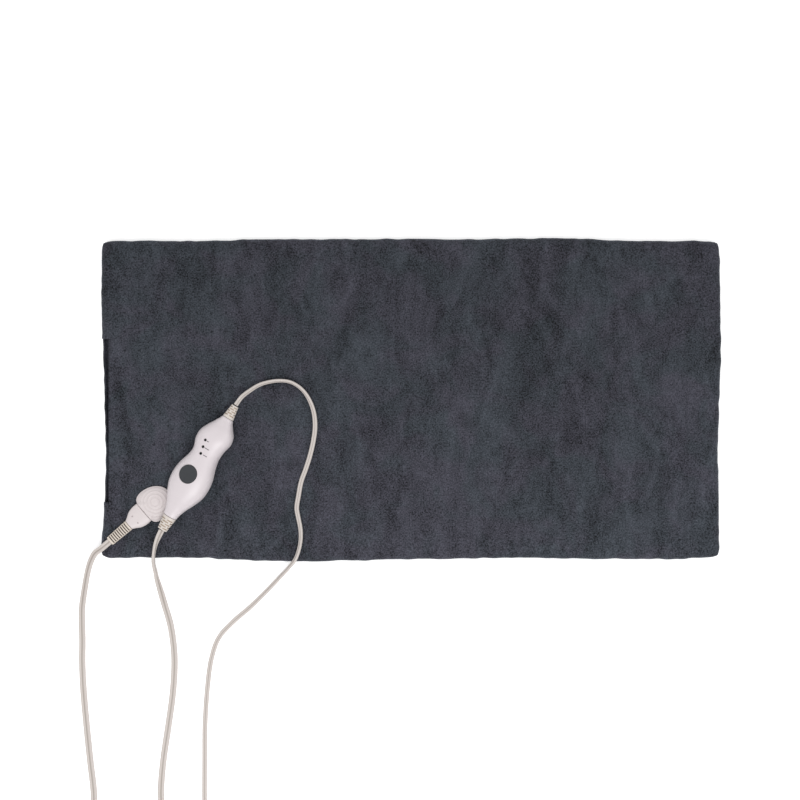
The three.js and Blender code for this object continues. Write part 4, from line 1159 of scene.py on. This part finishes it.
face_x = BODY_START + BODY_LONG
slot_half = [half + SLOT_ROOM for half in BLADE_HALF]
blade_slots = joined(*[
    block((face_x - 5.3, side * BLADE_GAP / 2 - slot_half[0], BODY_TALL / 2 - slot_half[1]),
          (face_x + 2, side * BLADE_GAP / 2 + slot_half[0], BODY_TALL / 2 + slot_half[1]))
    for side in (1, -1)])
mains_body = carved(wrapped(72, 96, mains_plug_point), blade_slots)
mains_plug = finish_piece("wall_plug", mains_body, MAINS_PLUG, CORD_PVC, "pad",
                          ["mains_plug"])
tail_sleeve = sleeve(18, (5, 3.5), 6, 0.7, 0.9, 2, 0.08, 0.05)
tail_sleeve.transform(Matrix.Translation((18, 0, BODY_TALL / 2)) @ TURN_BACK)
plug_sleeve = finish_piece("wall_plug_sleeve", tail_sleeve, MAINS_PLUG, RELIEF_PVC, "pad",
                           ["mains_plug_relief"])

# %% Coil tie
TIE_AT = Matrix.Translation(CORNER + COIL_CENTRE) @ Matrix.Rotation(TIE_ANGLE, 4, "Z")
TIE_IN, TIE_OUT, TIE_LOW, TIE_HIGH = 21.4, 41.8, 0.75, 7.6
TIE_HALF, TIE_SKIN = 2.0, 0.45


def tie_point(turn, share):
    """Round the coil with turn, and round the band's own thin section with share."""
    angle, around = 2 * math.pi * turn, 2 * math.pi * (share % 1.0)
    thick = TIE_SKIN * signed_power(math.cos(around), 0.6)
    across = TIE_HALF * signed_power(math.sin(around), 0.6)
    half_x = (TIE_OUT - TIE_IN) / 2 + thick
    half_z = (TIE_HIGH - TIE_LOW) / 2 + thick
    x = (TIE_OUT + TIE_IN) / 2 + half_x * signed_power(math.cos(angle), 0.25)
    return (x, across, (TIE_HIGH + TIE_LOW) / 2 + half_z * signed_power(math.sin(angle), 0.25))


coil_tie = finish_piece("coil_tie", wrapped(64, 16, tie_point), TIE_AT, LOOP_NAP, "pad",
                        ["cord_tie"])

# %% [markdown]
# ## What the leads are
# The pad lead runs from the plug's relief to the controller, and the mains lead from the
# controller to the wall plug.

# %% [markdown]
# ## The padded cover
# The cover is two panels of plush sewn face to face and turned out, so its edge is a soft
# roll with a seam half way up. A whole cushion form is made first, a little too small. It is
# remeshed, blown up as cloth, and held to the room that it really has. Then it is split at
# the seam into a front and a back, and each gets its thickness.

# %% The form and its simulation
SWELL = 1.3
VOXEL = 4.5
HALF_LONG, HALF_WIDE = pad_high.x / MM, pad_high.y / MM


def evaluated(obj):
    """The object's mesh with its modifiers applied, as a bmesh."""
    bpy.context.view_layer.update()
    bm = bmesh.new()
    bm.from_object(obj, bpy.context.evaluated_depsgraph_get())
    return bm


def replace_mesh(obj, bm):
    obj.modifiers.clear()
    bm.to_mesh(obj.data)
    bm.free()
    obj.data.update()


form = block((-HALF_LONG + SWELL, -HALF_WIDE + SWELL, SWELL),
             (HALF_LONG - SWELL, HALF_WIDE - SWELL, PAD_TOP - SWELL))
upright = [e for e in form.edges if abs(e.verts[0].co.z - e.verts[1].co.z) > 1]
bmesh.ops.bevel(form, geom=upright, offset=8, segments=4, profile=0.5, affect="EDGES",
                material=-1)
flat = [e for e in form.edges if abs(e.verts[0].co.z - e.verts[1].co.z) < 0.01
        and e.calc_face_angle(0) > 1]
bmesh.ops.bevel(form, geom=flat, offset=2.4, segments=2, profile=0.5, affect="EDGES",
                material=-1)
form.transform(Matrix.Scale(MM, 4))
cover_mesh = bpy.data.meshes.new("cover_form")
cover = new_object("cover_form", cover_mesh)
replace_mesh(cover, form)
remesh = cover.modifiers.new("even", "REMESH")
remesh.mode = "VOXEL"
remesh.voxel_size = VOXEL * MM
replace_mesh(cover, evaluated(cover))
print("cover form", len(cover.data.vertices), "points")


def points_of(mesh):
    co = np.zeros(len(mesh.vertices) * 3, np.float32)
    mesh.vertices.foreach_get("co", co)
    return co.reshape(-1, 3).astype(float)


def set_points(mesh, co):
    mesh.vertices.foreach_set("co", co.astype(np.float32).ravel())
    mesh.update()


def blow_up(obj, pressure, cap):
    """Cloth under pressure for twenty frames, each point rising no further than cap.

    The sewn edge keeps the outline, so the points only rise or sink.
    """
    rest = points_of(obj.data)
    cloth = obj.modifiers.new("swell", "CLOTH")
    cloth.settings.use_pressure = True
    cloth.settings.uniform_pressure_force = pressure
    cloth.settings.effector_weights.gravity = 0
    cloth.settings.quality = 4
    cloth.settings.shrink_min = -0.03
    cloth.point_cache.frame_start, cloth.point_cache.frame_end = 1, 20
    for number in range(1, 21):
        bpy.context.scene.frame_set(number)
    swollen = evaluated(obj)
    moved = np.array([v.co for v in swollen.verts])
    swollen.free()
    obj.modifiers.clear()
    shift = moved - rest
    shift[:, :2] = 0
    far = np.abs(shift[:, 2])
    shift[:, 2] = np.clip(shift[:, 2], -cap, cap)
    set_points(obj.data, rest + shift)
    bpy.context.scene.frame_set(1)
    print("swelled by", round(float(np.minimum(far, cap).mean()) / MM, 2), "mm on average")


blow_up(cover, 4.0, 2.2 * MM)
smooth = cover.modifiers.new("round", "SUBSURF")
smooth.levels = smooth.render_levels = 1
replace_mesh(cover, evaluated(cover))

# %% [markdown]
# ## Hems, waves and welds
# A sewn edge is never straight: it bows by a millimetre or two. The bows are given at even
# steps along each side and fade out towards the middle. The layers are held together by rows
# of tiny welds, which show as shallow dents, deepest in the upper left of the pad where the
# plush is brushed flat.

# %% Shape the cover
BOW_BACK = (0, 0, 0, 1.6, 1.8, 1.6, 2, 1.7, 2.1, 2.8, 0.4, 0, 0)
BOW_FRONT = (-1.2, -1.6, -0.7, 1.5, 2, 1.1, 0.1, -0.6, -1.6, -0.7, -0.2, 0, -1.8)
BOW_LEFT = (2.6, -0.6, -1.6, -0.3, 1.1, 1.9, 1.3)
BOW_RIGHT = (-0.5, -0.8, -1.6, 0, 1.4, 0.5, -0.3)
RIPPLE = 0.9
LET_OUT = (2.1, 1.4)
FADE = 70.0
CORNER_ROOM = 30
SEAM, SEAM_HALF, SEAM_DEPTH = 6.45, 1.3, 1.1
WELD_SIZE, WELD_DEPTH, SAG_DEPTH = 2.1, 0.75, 0.45


def bow(values, share):
    """The bow at a share along a side, smooth between its even steps."""
    place = np.clip(share, 0, 1) * (len(values) - 1)
    low = np.minimum(place.astype(int), len(values) - 2)
    t = eased(place - low)
    v = np.array(values)
    return v[low] * (1 - t) + v[low + 1] * t


def unevenness(*sizes):
    """Smooth noise, about 0 to 1, at each pair of values; sizes are x, y, their scales, a seed."""
    x, y, scale_x, scale_y, seed = sizes
    return np.array([0.5 + 0.5 * noise(Vector((a / scale_x, b / scale_y, seed)))
                     for a, b in zip(x, y)])


def shape_cover(co):
    """Bows the sides, pinches the seam and presses the welds in. Works in millimetres."""
    x, y, z = co[:, 0].copy(), co[:, 1].copy(), co[:, 2].copy()
    at_long_side = np.abs(y) < HALF_WIDE - CORNER_ROOM
    at_wide_side = np.abs(x) < HALF_LONG - CORNER_ROOM
    short_x = HALF_LONG + LET_OUT[0] - np.median([x[at_long_side].max(), -x[at_long_side].min()])
    short_y = HALF_WIDE + LET_OUT[1] - np.median([y[at_wide_side].max(), -y[at_wide_side].min()])
    print("outline let out by", round(short_x, 2), round(short_y, 2), "mm")
    x += np.sign(x) * short_x * eased((np.abs(x) - HALF_LONG + FADE) / FADE)
    y += np.sign(y) * short_y * eased((np.abs(y) - HALF_WIDE + FADE) / FADE)
    along_x, along_y = (x + HALF_LONG) / (2 * HALF_LONG), (y + HALF_WIDE) / (2 * HALF_WIDE)
    ripple = RIPPLE * (2 * unevenness(x, y, 11, 11, 2.0) - 1)
    rim = eased((np.maximum(np.abs(x) - HALF_LONG, np.abs(y) - HALF_WIDE) + 9) / 8)
    x, y = x + np.sign(x) * ripple * rim, y + np.sign(y) * ripple * rim
    new_y = y + bow(BOW_BACK, along_x) * eased((y - HALF_WIDE + FADE) / FADE)
    new_y -= bow(BOW_FRONT, along_x) * eased((-y - HALF_WIDE + FADE) / FADE)
    new_x = x + bow(BOW_RIGHT, along_y) * eased((x - HALF_LONG + FADE) / FADE)
    new_x -= bow(BOW_LEFT, along_y) * eased((-x - HALF_LONG + FADE) / FADE)

    seam = np.exp(-((z - SEAM) / SEAM_HALF) ** 2) * SEAM_DEPTH
    to_side = np.maximum(np.abs(x) - HALF_LONG, np.abs(y) - HALF_WIDE)
    at_side = eased((to_side + 5) / 4)
    new_x -= np.sign(x) * seam * at_side * (np.abs(x) - HALF_LONG > np.abs(y) - HALF_WIDE - 6)
    new_y -= np.sign(y) * seam * at_side * (np.abs(y) - HALF_WIDE > np.abs(x) - HALF_LONG - 6)

    u = (x - WELD_FIRST[0]) / WELD_STEP[0]
    v = (y - WELD_FIRST[1]) / WELD_STEP[1]
    du, dv = (u - np.round(u)) * WELD_STEP[0], (v - np.round(v)) * WELD_STEP[1]
    dent = np.exp(-(du * du + dv * dv) / (WELD_SIZE * WELD_SIZE))
    inner = eased((WELD_LAST[0] - np.abs(x)) / 12) * eased((WELD_LAST[1] - np.abs(y)) / 12)
    clear = 0.30 + 0.70 * eased((60 - x) / 200) * eased((y + 30) / 90)
    weld = dent * inner * clear * (0.55 + 0.6 * unevenness(x, y, 48, 48, 3.0))
    on_top = eased((z - PAD_TOP + 3) / 2)
    sag = unevenness(x, y, 34, 26, 9.0)
    new_z = z - on_top * (weld * WELD_DEPTH + sag * SAG_DEPTH * inner)
    floor_wave = unevenness(x, y, 40, 40, 5.0)
    underside = eased((1.5 - z) / 1.5)
    new_z += underside * (weld * 0.5 + floor_wave * 0.15 * inner)
    print("welds pressed", int((weld > 0.5).sum()), "points deep")
    return np.stack([new_x, new_y, new_z], 1)


co = points_of(cover.data) / MM
co[:, 2] = np.clip(co[:, 2], 0.0, PAD_TOP)
set_points(cover.data, shape_cover(co) * MM)
# %% [markdown]
# The form is now cut at the seam. The front is also cut back at the left end, where the cover
# opens so that the heating layers can be taken out. The solidify modifier gives each panel the
# thickness of plush on its foam backing.

# %% Front and back panels
PLUSH_THICK = 1.8
SEAM_GAP = 0.3
OPEN_LOW, OPEN_HIGH = CORNER.y + 57, CORNER.y + 217
SET_BACK = CORNER.x + 4.5
HEM_WIDTH = 14
HUB_HOLE = 9.6


def part_of(bm, wanted):
    """The faces whose middle is wanted, with their corners and edges."""
    near = [f for f in bm.faces if wanted(f.calc_center_median())]
    return list({g for f in near for g in (f, *f.verts, *f.edges)})


def panel(name, up, node):
    bm = bmesh.new()
    bm.from_mesh(cover.data)
    bm.transform(Matrix.Scale(1 / MM, 4))
    everything = bm.verts[:] + bm.edges[:] + bm.faces[:]
    bmesh.ops.bisect_plane(bm, geom=everything, dist=1e-4,
                           plane_co=(0, 0, SEAM + up * SEAM_GAP / 2), plane_no=(0, 0, -up),
                           clear_outer=True)
    if up > 0:
        for where in (OPEN_LOW, OPEN_HIGH):
            strip = part_of(bm, lambda middle: middle.x < SET_BACK + HEM_WIDTH)
            bmesh.ops.bisect_plane(bm, geom=strip, dist=1e-4, plane_co=(0, where, 0),
                                   plane_no=(0, 1, 0))
        mouth = part_of(bm, lambda middle: (middle.x < SET_BACK + HEM_WIDTH
                                            and OPEN_LOW < middle.y < OPEN_HIGH))
        bmesh.ops.bisect_plane(bm, geom=mouth, dist=1e-4, plane_co=(SET_BACK, 0, 0),
                               plane_no=(-1, 0, 0), clear_outer=True)
        fill_hub_hole(bm)
    bm.transform(Matrix.Scale(MM, 4))
    mesh = bpy.data.meshes.new(name)
    for face in bm.faces:
        face.smooth = True
    bm.to_mesh(mesh)
    bm.free()
    made = new_object(name, mesh)
    thick = made.modifiers.new("thickness", "SOLIDIFY")
    thick.thickness, thick.offset = PLUSH_THICK * MM, -1
    thick.use_even_offset = False
    replace_mesh(made, evaluated(made))
    for polygon in made.data.polygons:
        polygon.use_smooth = True
    made.data.materials.clear()
    made.data.materials.append(PLUSH)
    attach(made, "pad")
    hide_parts(node)
    print(name, len(made.data.polygons), "faces")
    return made


def fill_hub_hole(bm):
    """Opens the plush round the socket's hub, as the socket is riveted through it."""
    hub = SOCKET @ Vector((HUB_X, 0, 0))
    inside = [f for f in bm.faces if (f.calc_center_median().xy - hub.xy).length < HUB_HOLE]
    bmesh.ops.delete(bm, geom=inside, context="FACES")


front_cover = panel("front_cover", 1, "cover_front")
back_cover = panel("back_cover", -1, "cover_back")
bpy.data.objects.remove(cover)

# %% [markdown]
# At the opening both panels are folded under into hems, and the hook and loop strips are sewn
# on those. A hem is a soft flat roll of plush, so it is a rounded block that swells a little.

# %% Hems at the opening
def hem(name, low, high, soft):
    bm = block(low, high)
    bmesh.ops.subdivide_edges(bm, edges=[e for e in bm.edges if e.calc_length() > 100],
                              cuts=60, use_grid_fill=True)
    sides = [e for e in bm.edges if e.calc_face_angle(0) > 1]
    bmesh.ops.bevel(bm, geom=sides, offset=soft, segments=4, profile=0.5, affect="EDGES",
                    material=-1)
    for v in bm.verts:
        v.co.x += 0.5 * noise(Vector((0, v.co.y / 14, low[2])))
        v.co.z += 0.12 * noise(Vector((v.co.x / 9, v.co.y / 9, 20.0 + low[2])))
    return finish_piece(name, bm, IDENTITY, PLUSH, "pad", crisp=math.radians(80))


HEM_END = SET_BACK + HEM_WIDTH
FRONT_UNDER = PAD_TOP - 2.4
HEM_LOW, HEM_HIGH = OPEN_LOW + 0.6, OPEN_HIGH - 0.6
hem("front_hem", (SET_BACK + 0.2, HEM_LOW, FRONT_UNDER - 2.5),
    (HEM_END, HEM_HIGH, PAD_TOP - PLUSH_THICK - 0.75), 0.9)
hem("back_hem", (CORNER.x + 2.8, HEM_LOW, PLUSH_THICK + 0.5), (HEM_END, HEM_HIGH, 4.4), 0.9)
# %% [markdown]
# ## Floor and light
# The pad lies on a plain pale floor. Broad, soft lights stand on all sides, so shadows are
# faint, with more light from the side that the leads leave, which models the controller.

# %% Floor
floor_bm = bmesh.new()
bmesh.ops.create_grid(floor_bm, x_segments=8, y_segments=8, size=6.0)
floor_mesh = bpy.data.meshes.new("floor")
floor_bm.to_mesh(floor_mesh)
floor_bm.free()
floor = new_object("floor", floor_mesh)
floor.location.z = -0.0006
pale = Finish("pale_floor", Roughness=0.9, Emission_Strength=0.35,
              Specular_IOR_Level=0.0)
pale.shader.inputs["Emission Color"].default_value = (1, 1, 1, 1)
tone = pale.noise(3, 2)
floor.data.materials.append(pale.feed(Base_Color=pale.tinted(rgb(250, 250, 250),
                                                             0.99 + tone * 0.02)))

# %% Light
world = bpy.data.worlds.new("soft_room")
world.use_nodes = True
sky = world.node_tree.nodes["Background"].inputs
sky["Color"].default_value, sky["Strength"].default_value = (1, 1, 1, 1), 0.55
bpy.context.scene.world = world
bpy.context.scene.view_settings.view_transform = "Standard"


def soft_light(name, place, size, power, aim=(0, 0, 0)):
    light = bpy.data.lights.new(name, "AREA")
    light.shape = "RECTANGLE"
    light.size, light.size_y = size
    light.energy = power
    lamp = new_object(name, light)
    lamp.location = place
    lamp.rotation_mode = "QUATERNION"
    lamp.rotation_quaternion = (Vector(aim) - Vector(place)).to_track_quat("-Z", "Y")


soft_light("key_light", (-0.15, -1.0, 2.0), (1.5, 1.1), 26)
soft_light("fill_light", (1.4, 0.7, 1.8), (1.2, 1.2), 10)
soft_light("back_light", (-1.2, 1.3, 1.6), (1.6, 0.8), 6)
